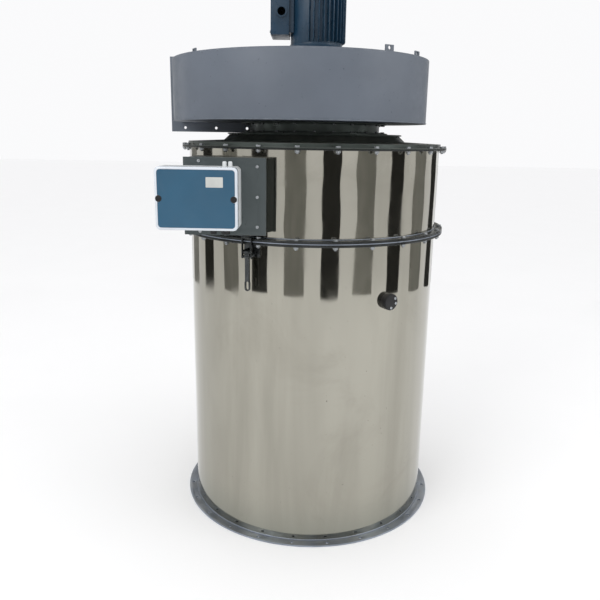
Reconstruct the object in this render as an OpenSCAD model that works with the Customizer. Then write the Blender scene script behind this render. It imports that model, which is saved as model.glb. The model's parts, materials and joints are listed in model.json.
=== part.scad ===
// Round venting dust collector. A bolted sheet-steel casing holds filter cartridges and their
// compressed-air cleaning gear, a suction fan with its motor stands on the cover, and a control
// box hangs on a bracket at the side. Z points up, and the origin is the centre of the base.
// Azimuths are measured round Z from the front, which faces -Y, towards +X.

/* [Casing] */
// Outer diameter of the round casing
casing_d = 800; // [680:10:960]
// Thickness of the casing sheet
sheet_t = 2; // [1.5:0.1:3]
// Height of the lower casing sheet
lower_h = 921; // [770:1:1110]
// Height of the upper casing sheet
upper_h = 242; // [225:1:292]
// Width of the base flange outside the casing
base_flange_w = 29; // [26:1:40]
// Thickness of the base flange
base_flange_t = 5; // [4:0.5:10]
// Width of the mid flanges outside the casing
mid_flange_w = 25; // [24:0.5:36]
// Thickness of each mid flange
mid_flange_t = 6; // [4:0.5:8]
// Width of the top flange outside the casing
top_flange_w = 23; // [22:0.5:32]
// Thickness of the top flange
top_flange_t = 3; // [3:0.5:6]
// Thickness of each flat seal
seal_t = 1.5; // [1:0.5:3]

/* [Flange bolts] */
// Number of bolts round each flange
bolt_n = 24; // [16:1:30]
// Azimuth of the first bolt
bolt_phase = 8.9; // [0:0.1:15]
// Distance of the bolt circle from the casing
bolt_offset = 15.8; // [15:0.2:17]
// Diameter of the holes in the base flange
base_hole_d = 10; // [8:0.5:12]
// Diameter of the flange bolts
bolt_d = 8; // [6:1:8]
// Width across the corners of the bolt heads and nuts
bolt_head_d = 14.4; // [12:0.2:14.8]
// Height of the bolt heads
bolt_head_h = 5.3; // [4:0.1:7]
// Height of the nuts
nut_h = 6.5; // [5:0.1:8]
// Radial clearance round each bolt in its hole
bolt_gap = 0.5; // [0.3:0.1:0.7]

/* [Cover and neck] */
// Thickness of the cover sheet
cover_t = 2.5; // [2:0.5:4]
// Height of the cover's upright rim
rim_h = 11; // [8:0.5:16]
// Rise of the cover sheet from its rim to the foot of the neck
cover_rise = 5; // [2:0.5:12]
// Radius of the foot of the neck
neck_foot_r = 291; // [285:1:310]
// Radius of the neck below its lip
neck_r = 272; // [260:1:280]
// Outer radius of the neck's lip
neck_lip_r = 280; // [276:1:284]
// Height of the neck above its foot, lip included
neck_h = 21.5; // [18:0.5:30]
// Thickness of the neck's lip
neck_lip_t = 4; // [3:0.5:6]

/* [Filters] */
// Number of filter cartridges on the circle
filter_n = 6; // [4:1:6]
// Radius of the circle of cartridges
filter_circle_r = 230; // [225:1:235]
// Outer radius of the pleated medium
filter_r = 94; // [80:1:96]
// Depth of the pleats
pleat_depth = 20; // [10:1:26]
// Number of pleats in each cartridge
pleat_n = 40; // [24:1:48]
// Length of the pleated medium
filter_len = 700; // [550:10:740]
// Thickness of the tube sheet
tube_sheet_t = 2.5; // [2:0.5:5]
// Width of the cartridge collar that rests on the tube sheet
collar_lip = 9; // [6:1:10]
// Thickness of the cartridge's collar plate
collar_t = 5; // [3:0.5:6]
// Length of the collar's spigot
spigot_h = 7.5; // [7:0.5:12]
// Thickness of the cartridge's bottom cap
end_cap_t = 8; // [5:1:15]

/* [Jet cleaning] */
// Outer radius of the compressed-air tank
tank_r = 50; // [40:1:55]
// Half length of the tank
tank_half = 236; // [226:1:246]
// Wall of the tank
tank_wall = 3; // [2:0.5:5]
// Height of the tank's axis above the upper mid flange
tank_rise = 150; // [146:1:160]
// Height of the blow pipes above the upper mid flange
pipe_rise = 58; // [50:1:64]
// Outer radius of the blow pipes
pipe_r = 14; // [10:0.5:16]
// Wall of the blow pipes
pipe_wall = 2; // [1.5:0.5:3]
// Outer radius of a diaphragm valve's body
valve_r = 28; // [24:1:32]
// Outer radius of a solenoid coil
coil_r = 17; // [14:1:20]
// Length of a solenoid coil
coil_len = 40; // [36:1:50]
// Radius of a solenoid plunger
plunger_r = 5; // [4:0.5:6]
// Length of a solenoid plunger
plunger_len = 24; // [18:1:28]
// Travel of a solenoid plunger
plunger_travel = 3; // [2:0.5:4]
// Outer radius of the air inlet pipe
inlet_pipe_r = 17; // [15:0.5:20]
// Bore radius of the air inlet pipe
inlet_bore_r = 12; // [8:0.5:13]

/* [Control box] */
// Width of the control box
control_w = 213; // [180:1:260]
// Height of the control box
control_h = 162; // [150:1:190]
// Depth of the control box's base
control_base_d = 60; // [50:1:80]
// Depth of the control box's lid
control_lid_d = 25; // [18:1:35]
// Wall of the control box
control_wall = 3; // [2:0.5:4]
// Radius of the control box's corners
control_corner = 12; // [8:1:16]
// Place of the control box's centre along X
control_x = -299; // [-306:1:-286]
// Height of the control box's centre above the upper mid flange
control_rise = 117.5; // [110:0.5:130]
// Width of the circuit board in the control box
board_w = 168; // [164:1:172]
// Height of the circuit board
board_h = 130; // [128:1:136]
// Width of the bracket that carries the control box
bracket_w = 217; // [200:1:230]
// Height of the bracket
bracket_h = 203; // [190:1:210]
// Place of the bracket's right edge along X
bracket_right_x = -128; // [-140:1:-120]
// Distance of the bracket's front face from the casing's foremost line
bracket_standoff = 24; // [20:1:40]
// Thickness of the bracket's sheet
bracket_t = 1.5; // [1:0.5:2.5]

/* [Port and latch] */
// Azimuth of the pressure port
port_azimuth = 33.7; // [28:0.1:40]
// Height of the pressure port
port_z = 759; // [600:1:800]
// Radius of the pressure port's cap
port_r = 24.5; // [20:0.5:30]
// Depth of the pressure port's cap
port_depth = 20; // [14:0.5:26]
// Azimuth of the toggle latch
latch_azimuth = -25; // [-28:0.5:-24]
// Distance of the latch's pivot below the mid flange
latch_drop = 21; // [19:0.5:26]
// Length of the latch's lever below its pivot
latch_len = 112; // [90:1:140]
// Width of the latch's lever
latch_lever_w = 14; // [12:0.5:16]

/* [Fan] */
// Height of the fan's inlet collar
collar_h = 33.5; // [30:0.5:50]
// Inner radius of the inlet collar
collar_r = 205; // [190:1:210]
// Height of the fan casing over its plates
scroll_h = 183.5; // [170:0.5:220]
// Thickness of the fan casing's sheet
scroll_t = 3; // [2:0.5:5]
// Smallest radius of the scroll
scroll_r = 320; // [300:1:360]
// Growth of the scroll in each quarter turn
scroll_step = 52; // [44:1:56]
// Distance of the outlet's plane from the fan's axis
outlet_y = 120; // [112:1:130]
// Width of the outlet
outlet_w = 226; // [210:1:228]
// Width of the outlet flange's side and bottom bars
outlet_bar = 36; // [32:1:44]
// Width of the outlet flange's top bar
outlet_top_bar = 28; // [26:1:44]
// Thickness of the outlet flange
outlet_flange_t = 5; // [3:0.5:8]
// Outer radius of the impeller
impeller_r = 176; // [150:1:178]
// Height of the impeller's blades
blade_h = 87; // [70:1:92]
// Number of impeller blades
blade_n = 10; // [7:1:14]
// Radius of the impeller's eye
eye_r = 105; // [90:1:112]

/* [Motor] */
// Height of the finned motor housing
motor_h = 160; // [140:1:190]
// Outer radius of the motor's fins
motor_fin_r = 92; // [88:1:100]
// Outer radius of the motor housing between its fins
motor_r = 80; // [77:1:84]
// Number of cooling fins in a full turn
fin_n = 36; // [24:4:44]
// Thickness of each fin
fin_t = 2.6; // [2:0.1:4]
// Radius of the motor's mounting flange
motor_flange_r = 100; // [98:1:112]
// Thickness of the motor's mounting flange
motor_flange_t = 12; // [8:1:16]
// Height of the fan cowl
cowl_h = 80; // [70:1:100]
// Radius of the motor shaft
shaft_r = 12; // [10:0.5:14]
// Running clearance round the shaft, the pins and the plungers
run_gap = 0.05; // [0.03:0.01:0.08]
// Depth of the terminal box, outwards from the motor
terminal_w = 56; // [46:1:70]
// Height of the terminal box
terminal_h = 112; // [100:1:125]

/* [Hidden] */
$fn = 96;

// Overshoot of cutting tools past the faces they cut
cut = 1;
// Gap between a conforming foot and the curved casing it stands on
foot_gap = 0.05;

// Radii of the casing and its flanges
casing_r = casing_d / 2;
casing_in_r = casing_r - sheet_t;
seal_inset = 1;
bolt_circle_r = casing_r + bolt_offset;
mid_flange_r = casing_r + mid_flange_w;
top_flange_r = casing_r + top_flange_w;
bolt_hole_r = bolt_d / 2 + bolt_gap;

// Heights of the joints, from the base upwards
z_mid = base_flange_t + lower_h;
z_sheet = z_mid + mid_flange_t + seal_t;
z_mid_up = z_sheet + tube_sheet_t + seal_t;
z_upper = z_mid_up + mid_flange_t;
z_top = z_upper + upper_h;
z_cover = z_top + top_flange_t + seal_t;
z_rim = z_cover + cover_t + rim_h;
z_foot = z_rim + cover_rise;
z_neck = z_foot + neck_h;
z_fan = z_neck + collar_h;
z_fan_top = z_fan + scroll_h;

// Filter cartridges
filter_hole_r = filter_r + 3;
collar_r_out = filter_hole_r + collar_lip;
spigot_r = filter_hole_r - 1;
z_medium = z_sheet - spigot_h;
core_r = filter_r - pleat_depth - 3;

// Jet cleaning gear
z_tank = z_upper + tank_rise;
z_pipe = z_upper + pipe_rise;
row_y = filter_circle_r * sin(60);
valve_foot = z_pipe - pipe_r - 3;
valve_port_r = 10;

// Control box and its bracket
z_control = z_upper + control_rise;
bracket_front = casing_r + bracket_standoff;
bracket_left_x = bracket_right_x - bracket_w;
bracket_mid_x = bracket_right_x - bracket_w / 2;
bracket_plate_y = bracket_front + bracket_t + 0.3;
control_back = bracket_plate_y + bracket_t;
control_lid_y = control_back + control_base_d;
control_front = control_lid_y + control_lid_d;
board_gap = 12;
board_t = 1.6;
screw_inset = 21.5;

// Toggle latch: pivot and link pin, as distances outwards and upwards from the casing
latch_z = z_mid - latch_drop;
pivot_out = mid_flange_w - 1;
link_out = mid_flange_w + 4;
link_drop = 13;
pivot_pin_r = 3;
link_pin_r = 2.5;
ear_t = 3;
ear_gap = 1;
link_bar_t = 3;
link_bar_w = 7;
link_in = latch_lever_w / 2 + ear_gap + ear_t + 2;
link_grip = z_upper + 0.3 - latch_z;

// Pressure port
port_pipe_r = 10;

// Fan casing
half_step = scroll_step / 2;
scroll_in_top = scroll_h - 2 * scroll_t;
scroll_left = scroll_r + 2.5 * scroll_step;
north_y = scroll_r - half_step;
tongue_r = collar_r + 10;
wall_gap = 0.5;
outlet_left_x = -scroll_left;
outlet_mid_x = outlet_left_x + outlet_w / 2;
outlet_hole_pitch = 106;
outlet_hole_r = 4.5;
outlet_side_pitch = 110;
collar_bolt_n = 24;
collar_flange_w = 30;
collar_flange_t = 4;
collar_bolt_r = collar_r + 16;
collar_bolt_d = 6;
collar_head_d = 11.5;
collar_head_h = 4;
collar_hole_r = collar_bolt_d / 2 + 0.4;
z_blades = z_fan + 66.5;
z_blade_top = z_blades + blade_h;
back_t = 4;
hub_r = 30;
hub_h = 42;

// Motor
z_motor = z_fan_top + motor_flange_t;
shield_h = 40;
z_housing = z_motor + shield_h;
z_rear = z_housing + motor_h;
rear_t = 12;
bearing_r = 26;
bearing_w = 15;
z_bearing_low = z_motor + 4;
z_bearing_high = z_rear - 5;
stator_r = 64;
rotor_r = 38;
z_shaft_low = z_blade_top - hub_h + 6;
z_cowl = z_rear - 4;
z_cowl_top = z_cowl + cowl_h;
terminal_d = 116;
terminal_x = -motor_r - 4;
z_terminal = z_housing + 24;
entry_r = 12.5;
entry_z = z_terminal + 66;
entry_x = terminal_x - terminal_w / 2 + 5;

module at_azimuth(azimuth, radius, height) {
    translate([radius * sin(azimuth), -radius * cos(azimuth), height])
        rotate([0, 0, azimuth]) children();
}

module polar(count, radius, phase = 0) {
    for (i = [0 : count - 1])
        rotate([0, 0, phase + 360 * i / count]) translate([radius, 0, 0]) children();
}

// Lays a part that is built upwards so that it points forwards, along -Y
module facing_front() {
    rotate([90, 0, 0]) children();
}

module ring(outer_r, inner_r, height) {
    difference() {
        cylinder(r = outer_r, h = height);
        translate([0, 0, -cut]) cylinder(r = inner_r, h = height + 2 * cut);
    }
}

module drilled_ring(outer_r, height, hole_r) {
    difference() {
        ring(outer_r, casing_in_r, height);
        translate([0, 0, -cut])
            polar(bolt_n, bolt_circle_r, bolt_phase) cylinder(r = hole_r, h = height + 2 * cut);
    }
}

module hex_bolt(dia, head_d, head_h, length) {
    cylinder(d = head_d, h = head_h, $fn = 6);
    translate([0, 0, -length]) cylinder(d = dia, h = length + cut);
}

module hex_nut(dia, across, height) {
    difference() {
        cylinder(d = across, h = height, $fn = 6);
        translate([0, 0, -cut]) cylinder(d = dia + 2 * run_gap, h = height + 2 * cut);
    }
}

module rounded_rect(w, h, r) {
    square([w - 2 * r, h], center = true);
    square([w, h - 2 * r], center = true);
    for (sx = [-1, 1], sy = [-1, 1])
        translate([sx * (w / 2 - r), sy * (h / 2 - r)]) circle(r = r);
}

// ---- casing ----

module base_flange() {
    color("slategray")
        drilled_ring(casing_r + base_flange_w, base_flange_t, base_hole_d / 2);
}

module lower_casing() {
    color("lightsteelblue") difference() {
        translate([0, 0, base_flange_t]) ring(casing_r, casing_in_r, lower_h);
        at_azimuth(port_azimuth, casing_r + cut, port_z)
            rotate([-90, 0, 0]) cylinder(r = port_pipe_r + 0.5, h = sheet_t + 4 * cut);
    }
}

module mid_lower_flange() {
    color("dimgray") translate([0, 0, z_mid]) drilled_ring(mid_flange_r, mid_flange_t, bolt_hole_r);
}

module mid_upper_flange() {
    color("dimgray") translate([0, 0, z_mid_up])
        drilled_ring(mid_flange_r, mid_flange_t, bolt_hole_r);
}

module mid_seals() {
    color("black") {
        translate([0, 0, z_mid + mid_flange_t])
            drilled_ring(mid_flange_r - seal_inset, seal_t, bolt_hole_r);
        translate([0, 0, z_sheet + tube_sheet_t])
            drilled_ring(mid_flange_r - seal_inset, seal_t, bolt_hole_r);
    }
}

module tube_sheet() {
    color("silver") translate([0, 0, z_sheet]) difference() {
        cylinder(r = mid_flange_r, h = tube_sheet_t);
        translate([0, 0, -cut]) {
            polar(bolt_n, bolt_circle_r, bolt_phase)
                cylinder(r = bolt_hole_r, h = tube_sheet_t + 2 * cut);
            polar(filter_n, filter_circle_r)
                cylinder(r = filter_hole_r, h = tube_sheet_t + 2 * cut);
        }
    }
}

module mid_bolts() {
    color("gainsboro") translate([0, 0, z_upper])
        polar(bolt_n, bolt_circle_r, bolt_phase)
            hex_bolt(bolt_d, bolt_head_d, bolt_head_h, z_upper - z_mid + nut_h + 3);
}

module mid_nuts() {
    color("gainsboro") translate([0, 0, z_mid - nut_h])
        polar(bolt_n, bolt_circle_r, bolt_phase) hex_nut(bolt_d, bolt_head_d, nut_h);
}

module upper_casing() {
    color("lightsteelblue") difference() {
        translate([0, 0, z_upper]) ring(casing_r, casing_in_r, upper_h);
        at_azimuth(180, casing_r + cut, z_tank)
            rotate([-90, 0, 0]) cylinder(r = inlet_pipe_r + 0.5, h = sheet_t + 3 * cut);
        at_azimuth(-32, casing_r + 2 * cut, z_control)
            rotate([-90, 0, 0]) cylinder(r = 18, h = sheet_t + 6 * cut);
    }
}

module top_flange() {
    color("dimgray") translate([0, 0, z_top]) drilled_ring(top_flange_r, top_flange_t, bolt_hole_r);
}

module top_seal() {
    color("black") translate([0, 0, z_top + top_flange_t])
        drilled_ring(top_flange_r - seal_inset, seal_t, bolt_hole_r);
}

module top_cover() {
    rim_r = casing_r + 4;
    color("darkslategray") difference() {
        rotate_extrude() polygon([
            [rim_r - cover_t, z_cover],
            [top_flange_r, z_cover],
            [top_flange_r, z_cover + cover_t],
            [rim_r, z_cover + cover_t],
            [rim_r, z_rim],
            [neck_foot_r, z_foot],
            [neck_r, z_neck - neck_lip_t],
            [neck_lip_r, z_neck - neck_lip_t],
            [neck_lip_r, z_neck],
            [collar_r, z_neck],
            [collar_r, z_neck - neck_lip_t],
            [neck_r - 1.4 * cover_t, z_neck - neck_lip_t],
            [neck_foot_r - cover_t, z_foot - cover_t],
            [rim_r - cover_t, z_rim - cover_t]
        ]);
        translate([0, 0, z_cover - cut])
            polar(bolt_n, bolt_circle_r, bolt_phase)
                cylinder(r = bolt_hole_r, h = cover_t + 2 * cut);
        translate([0, 0, z_neck - neck_lip_t - cut])
            polar(collar_bolt_n, collar_bolt_r) cylinder(r = collar_hole_r, h = neck_lip_t + 2 * cut);
    }
}

module top_bolts() {
    color("gainsboro") translate([0, 0, z_cover + cover_t])
        polar(bolt_n, bolt_circle_r, bolt_phase)
            hex_bolt(bolt_d, bolt_head_d, bolt_head_h, z_cover + cover_t - z_top + nut_h + 3);
}

module top_nuts() {
    color("gainsboro") translate([0, 0, z_top - nut_h])
        polar(bolt_n, bolt_circle_r, bolt_phase) hex_nut(bolt_d, bolt_head_d, nut_h);
}

// ---- filter cartridges ----

// Star outline of a pleated medium
function pleat_points(count, outer_r, inner_r) = [
    for (i = [0 : 2 * count - 1])
        let (r = i % 2 == 0 ? outer_r : inner_r, a = 180 * i / count)
            [r * cos(a), r * sin(a)]
];

module filter_media() {
    color("whitesmoke") translate([0, 0, z_medium - filter_len])
        polar(filter_n, filter_circle_r) linear_extrude(filter_len) difference() {
            polygon(pleat_points(pleat_n, filter_r, filter_r - pleat_depth));
            circle(r = core_r);
        }
}

module filter_collars() {
    color("silver") translate([0, 0, z_medium])
        polar(filter_n, filter_circle_r) difference() {
            union() {
                cylinder(r = spigot_r, h = spigot_h + tube_sheet_t + cut);
                translate([0, 0, spigot_h + tube_sheet_t]) cylinder(r = collar_r_out, h = collar_t);
            }
            translate([0, 0, -cut]) cylinder(r = core_r, h = 40);
        }
}

module filter_end_caps() {
    color("silver") translate([0, 0, z_medium - filter_len - end_cap_t])
        polar(filter_n, filter_circle_r) cylinder(r = filter_r + 2, h = end_cap_t);
}

// ---- jet cleaning gear ----

module air_tank() {
    leg_t = 6;
    color("steelblue") difference() {
        union() {
            translate([0, -tank_half, z_tank]) rotate([-90, 0, 0])
                cylinder(r = tank_r, h = 2 * tank_half);
            for (side = [-1, 1])
                translate([-30, side * 100 - leg_t / 2, z_sheet + tube_sheet_t])
                    cube([60, leg_t, z_tank - z_sheet - tube_sheet_t - tank_r / 2]);
        }
        translate([0, -tank_half + tank_wall, z_tank]) rotate([-90, 0, 0])
            cylinder(r = tank_r - tank_wall, h = 2 * (tank_half - tank_wall));
        translate([0, tank_half - tank_wall - cut, z_tank]) rotate([-90, 0, 0])
            cylinder(r = inlet_bore_r - 2, h = tank_wall + 2 * cut);
        valve_rows() translate([0, 0, z_tank - tank_r - cut])
            cylinder(r = valve_port_r, h = tank_wall + 2 * cut);
    }
}

module valve_rows() {
    for (row = [-1 : 1]) translate([0, row * row_y, 0]) children();
}

module valve_bodies() {
    coil_seat = 3;
    color("lightgray") difference() {
        valve_rows() {
            translate([0, 0, valve_foot]) cylinder(r = valve_r, h = z_tank - tank_r / 2 - valve_foot);
            translate([0, -valve_r - coil_seat, z_pipe]) rotate([-90, 0, 0])
                cylinder(r = 12, h = valve_r);
        }
        translate([0, -tank_half - cut, z_tank]) rotate([-90, 0, 0])
            cylinder(r = tank_r + foot_gap, h = 2 * tank_half + 2 * cut);
        valve_rows() {
            translate([0, 0, z_pipe]) cylinder(r = valve_port_r, h = z_tank - z_pipe);
            translate([-valve_r - cut, 0, z_pipe]) rotate([0, 90, 0])
                cylinder(r = pipe_r + foot_gap, h = 2 * valve_r + 2 * cut);
        }
    }
}

module blow_pipes() {
    plug = 12;
    nozzle_r = 9;
    nozzle_h = 22;
    color("silver") for (row = [-1 : 1], side = [-1, 1]) {
        reach = row == 0 ? filter_circle_r : filter_circle_r / 2;
        translate([0, row * row_y, z_pipe]) mirror([side < 0 ? 1 : 0, 0, 0]) difference() {
            union() {
                translate([valve_r - plug, 0, 0]) rotate([0, 90, 0])
                    cylinder(r = pipe_r, h = reach + 20 - valve_r + plug);
                translate([reach, 0, -pipe_r - nozzle_h]) cylinder(r = nozzle_r, h = pipe_r + nozzle_h);
            }
            translate([valve_r - plug - cut, 0, 0]) rotate([0, 90, 0])
                cylinder(r = pipe_r - pipe_wall, h = reach + 18 - valve_r + plug + cut);
            translate([reach, 0, -pipe_r - nozzle_h - cut])
                cylinder(r = nozzle_r - pipe_wall, h = pipe_r + nozzle_h + cut);
        }
    }
}

// Distance of a coil's back face from its valve's axis
coil_back = valve_r + 3;
plunger_back = coil_back + 5;

module solenoid_coils() {
    color("black") valve_rows() difference() {
        translate([0, -coil_back, z_pipe]) facing_front() cylinder(r = coil_r, h = coil_len);
        translate([0, -plunger_back + 1, z_pipe]) facing_front()
            cylinder(r = plunger_r + run_gap, h = plunger_len + plunger_travel + 2);
    }
}

module valve_plunger(row) {
    color("gainsboro") translate([0, row * row_y - plunger_back, z_pipe]) facing_front()
        cylinder(r = plunger_r, h = plunger_len);
}

module valve_plunger_1() { valve_plunger(-1); }
module valve_plunger_2() { valve_plunger(0); }
module valve_plunger_3() { valve_plunger(1); }

module air_inlet() {
    reach = casing_r + 34 - tank_half;
    nut_t = 10;
    color("gold") translate([0, tank_half, z_tank]) rotate([-90, 0, 0]) difference() {
        union() {
            cylinder(r = inlet_pipe_r, h = reach);
            translate([0, 0, casing_r - tank_half + 0.2]) cylinder(r = inlet_pipe_r + 9, h = nut_t, $fn = 6);
        }
        translate([0, 0, -cut]) cylinder(r = inlet_bore_r, h = reach + 2 * cut);
    }
}

// ---- control box and bracket ----

module bracket_box() {
    color("dimgray") difference() {
        translate([bracket_left_x, -bracket_front, z_control - bracket_h / 2])
            cube([bracket_w, bracket_front - casing_r * 0.45, bracket_h]);
        translate([bracket_left_x + bracket_t, -bracket_front - cut, z_control - bracket_h / 2 + bracket_t])
            cube([bracket_w - 2 * bracket_t, bracket_front, bracket_h - 2 * bracket_t]);
        translate([0, 0, z_control - bracket_h]) cylinder(r = casing_r + foot_gap, h = 2 * bracket_h);
    }
    // Tapped strips behind the cover's screws
    color("dimgray") difference() {
        union() {
            translate([bracket_right_x - screw_inset - 8, -bracket_front,
                       z_control - bracket_h / 2 + bracket_t - 0.5])
                cube([16, 3, bracket_h - 2 * bracket_t + 1]);
            for (side = [-1, 1])
                translate([bracket_left_x + bracket_t - 0.5, -bracket_front,
                           z_control + side * (bracket_h / 2 - bracket_t - 6) - 6.5])
                    cube([60, 3, 13]);
        }
        bracket_screw_places() translate([0, 0, -10]) cylinder(r = 2 + run_gap, h = 20);
    }
}

// Three screws in a column at the right, and one above and below the control box at the left
module bracket_screw_places() {
    for (level = [-1 : 1])
        translate([bracket_right_x - screw_inset, -control_back,
                   z_control + level * (bracket_h / 2 - screw_inset)])
            facing_front() children();
    for (side = [-1, 1])
        translate([bracket_left_x + 40, -control_back, z_control + side * (bracket_h / 2 - 8)])
            facing_front() children();
}

module bracket_cover() {
    lip = 10;
    gap = 0.3;
    color("slategray") difference() {
        translate([bracket_left_x - bracket_t - gap, -control_back,
                   z_control - bracket_h / 2 - bracket_t - gap])
            cube([bracket_w + 2 * (bracket_t + gap), lip, bracket_h + 2 * (bracket_t + gap)]);
        translate([bracket_left_x - gap, -bracket_plate_y, z_control - bracket_h / 2 - gap])
            cube([bracket_w + 2 * gap, lip, bracket_h + 2 * gap]);
        bracket_screw_places() translate([0, 0, -5]) cylinder(r = 2.5, h = 10);
        wiring_hole();
    }
}

// Hole that leads the wires from the control box into the bracket
module wiring_hole() {
    translate([bracket_mid_x - 20, -control_back - 5, z_control - 20]) rotate([-90, 0, 0])
        cylinder(r = 14, h = 10);
}

module bracket_screws() {
    color("gainsboro") bracket_screw_places() {
        difference() {
            cylinder(r = 4.2, h = 2.6);
            translate([0, 0, 1.4]) cylinder(r = 2.2, h = 2, $fn = 6);
        }
        translate([0, 0, -8]) cylinder(r = 2, h = 8.5);
    }
}

module control_shell(depth) {
    difference() {
        linear_extrude(depth) rounded_rect(control_w, control_h, control_corner);
        translate([0, 0, control_wall]) linear_extrude(depth)
            rounded_rect(control_w - 2 * control_wall, control_h - 2 * control_wall,
                         control_corner - control_wall);
    }
}

// Glands and hose fittings keep their distance from the box's right side
gland_x = [control_w / 2 - 71.5, control_w / 2 - 38.5];
gland_r = [10, 13];
gland_bore_r = [4, 6];
fitting_x = [control_w / 2 - 39.5, control_w / 2 - 24.5];
fitting_r = 5.5;
fitting_bore_r = 3.05;

module control_box_base() {
    color("whitesmoke") difference() {
        translate([control_x, -control_back, z_control]) difference() {
            facing_front() control_shell(control_base_d);
            for (i = [0, 1])
                translate([gland_x[i], -control_base_d / 2, -control_h / 2 - cut])
                    cylinder(r = gland_r[i] - 3, h = control_wall + 2 * cut);
            for (x = fitting_x)
                translate([x, -control_base_d / 2, control_h / 2 - control_wall - cut])
                    cylinder(r = 4, h = control_wall + 2 * cut);
        }
        wiring_hole();
    }
    // Screw posts for the board and the lid
    color("whitesmoke") translate([control_x, -control_back - control_wall + 0.5, z_control])
        facing_front() for (sx = [-1, 1], sy = [-1, 1])
            translate([sx * (board_w / 2 - 4), sy * (board_h / 2 - 5), 0])
                cylinder(r = 4, h = board_gap + 0.5);
}

lid_screw_x = control_w / 2 - 10;
lid_screw_r = 5;
sheet_r = 8;
sheet_recess = 0.8;

module control_box_lid() {
    color("white") translate([control_x, -control_front, z_control]) difference() {
        rotate([-90, 0, 0]) control_shell(control_lid_d);
        translate([0, sheet_recess, 0]) facing_front() linear_extrude(2)
            rounded_rect(control_w - 13, control_h - 13, sheet_r);
        for (side = [-1, 1])
            translate([side * lid_screw_x, control_wall + cut, 0]) facing_front()
                cylinder(r = lid_screw_r + 0.3, h = control_wall + 3 * cut);
    }
}

module control_panel_sheet() {
    color("steelblue") translate([control_x, -control_front + sheet_recess, z_control])
        facing_front() linear_extrude(sheet_recess) difference() {
            rounded_rect(control_w - 14, control_h - 14, sheet_r);
            for (side = [-1, 1]) translate([side * (control_w / 2 - 7), 0]) circle(r = 9.5);
        }
}

module lid_screws() {
    color("black") for (side = [-1, 1])
        translate([control_x + side * lid_screw_x, -control_front + 12, z_control])
            facing_front() difference() {
            cylinder(r = lid_screw_r, h = 11.8);
            translate([-0.8, -4, 10.4]) cube([1.6, 8, 3]);
        }
}

module circuit_board() {
    color("green") translate([control_x, -control_back - control_wall - board_gap, z_control])
        facing_front() translate([0, 0, board_t / 2]) cube([board_w, board_h, board_t], center = true);
}

module board_parts() {
    part_foot = control_back + control_wall + board_gap + board_t;
    // Relays, transformer, terminal strip and fuse holder: [x, z, width, height, depth]
    blocks = [[-60, 35, 40, 34, 26], [-8, 40, 18, 26, 20], [16, 40, 18, 26, 20], [40, 40, 18, 26, 20],
              [0, -52, 150, 12, 16], [62, 8, 12, 34, 14], [-30, -8, 34, 34, 5]];
    color("dimgray") for (b = blocks)
        translate([control_x + b[0] - b[2] / 2, -part_foot - b[4], z_control + b[1] - b[3] / 2])
            cube([b[2], b[4], b[3]]);
}

module cable_glands() {
    thread_in = 8;
    color("black") for (i = [0, 1])
        translate([control_x + gland_x[i], -control_back - control_base_d / 2, z_control - control_h / 2])
            difference() {
                union() {
                    translate([0, 0, -5]) cylinder(r = gland_r[i], h = 5, $fn = 6);
                    translate([0, 0, -15]) cylinder(r = gland_r[i] - 1.5, h = 10.5);
                    cylinder(r = gland_r[i] - 3.1, h = thread_in);
                }
                translate([0, 0, -20]) cylinder(r = gland_bore_r[i], h = 40);
            }
}

module push_fittings() {
    color("white") for (x = fitting_x)
        translate([control_x + x, -control_back - control_base_d / 2, z_control + control_h / 2])
            difference() {
                union() {
                    cylinder(r = fitting_r, h = 11);
                    translate([0, 0, 10.5]) cylinder(r = fitting_r - 1, h = 2.5);
                    translate([0, 0, -control_wall - 3]) cylinder(r = 3.95, h = control_wall + 3.5);
                }
                translate([0, 0, -10]) cylinder(r = fitting_bore_r, h = 30);
            }
}

// ---- pressure port and toggle latch ----

port_screw_angles = [36, -16, -90];

module port_body() {
    color("black") difference() {
        at_azimuth(port_azimuth, casing_r, port_z) difference() {
            union() {
                translate([0, 3, 0]) facing_front() cylinder(r = port_r, h = port_depth - 2 + 3);
                translate([0, -port_depth + 3, 0]) facing_front() cylinder(r = port_r - 2, h = 3);
            }
            for (a = port_screw_angles) rotate([0, -a, 0]) translate([17, -port_depth - cut, 0])
                rotate([-90, 0, 0]) cylinder(r = 2 + foot_gap, h = 12);
        }
        translate([0, 0, port_z - 2 * port_r]) cylinder(r = casing_r + foot_gap, h = 4 * port_r);
    }
    color("black") at_azimuth(port_azimuth, casing_r, port_z)
        translate([0, 30, 0]) facing_front() ring(port_pipe_r, 6, 32);
}

module port_screws() {
    color("gainsboro") at_azimuth(port_azimuth, casing_r, port_z)
        for (a = port_screw_angles) rotate([0, -a, 0]) translate([17, -port_depth, 0])
            facing_front() {
                cylinder(r = 3.2, h = 2.4);
                translate([0, 0, -10]) cylinder(r = 2, h = 10.5);
            }
}

// The latch's own frame: X along the casing, -Y outwards, Z up, at the casing's surface
module in_latch_frame() {
    at_azimuth(latch_azimuth, casing_r, latch_z) children();
}

// Bar that stands across the latch, from x = -width/2 to +width/2, with an outline given as
// distances outwards and upwards
module latch_profile(width) {
    translate([-width / 2, 0, 0]) rotate([90, 0, -90]) mirror([0, 0, 1])
        linear_extrude(width) children();
}

module latch_base() {
    plate_w = 50;
    plate_h = 34;
    ear_x = latch_lever_w / 2 + ear_gap;
    plate_t = 3;
    color("silver") in_latch_frame() {
        translate([-plate_w / 2, -plate_t, -plate_h / 2]) cube([plate_w, plate_t, plate_h]);
        for (side = [-1, 1]) translate([side * (ear_x + ear_t / 2), 0, 0])
            latch_profile(ear_t) {
                translate([1, -8]) square([pivot_out - 1, 16]);
                translate([pivot_out, 0]) circle(r = 8);
            }
        translate([-ear_x - ear_t - 1.5, -pivot_out, 0])
            rotate([0, 90, 0]) cylinder(r = pivot_pin_r, h = 2 * (ear_x + ear_t + 1.5));
    }
}

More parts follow.
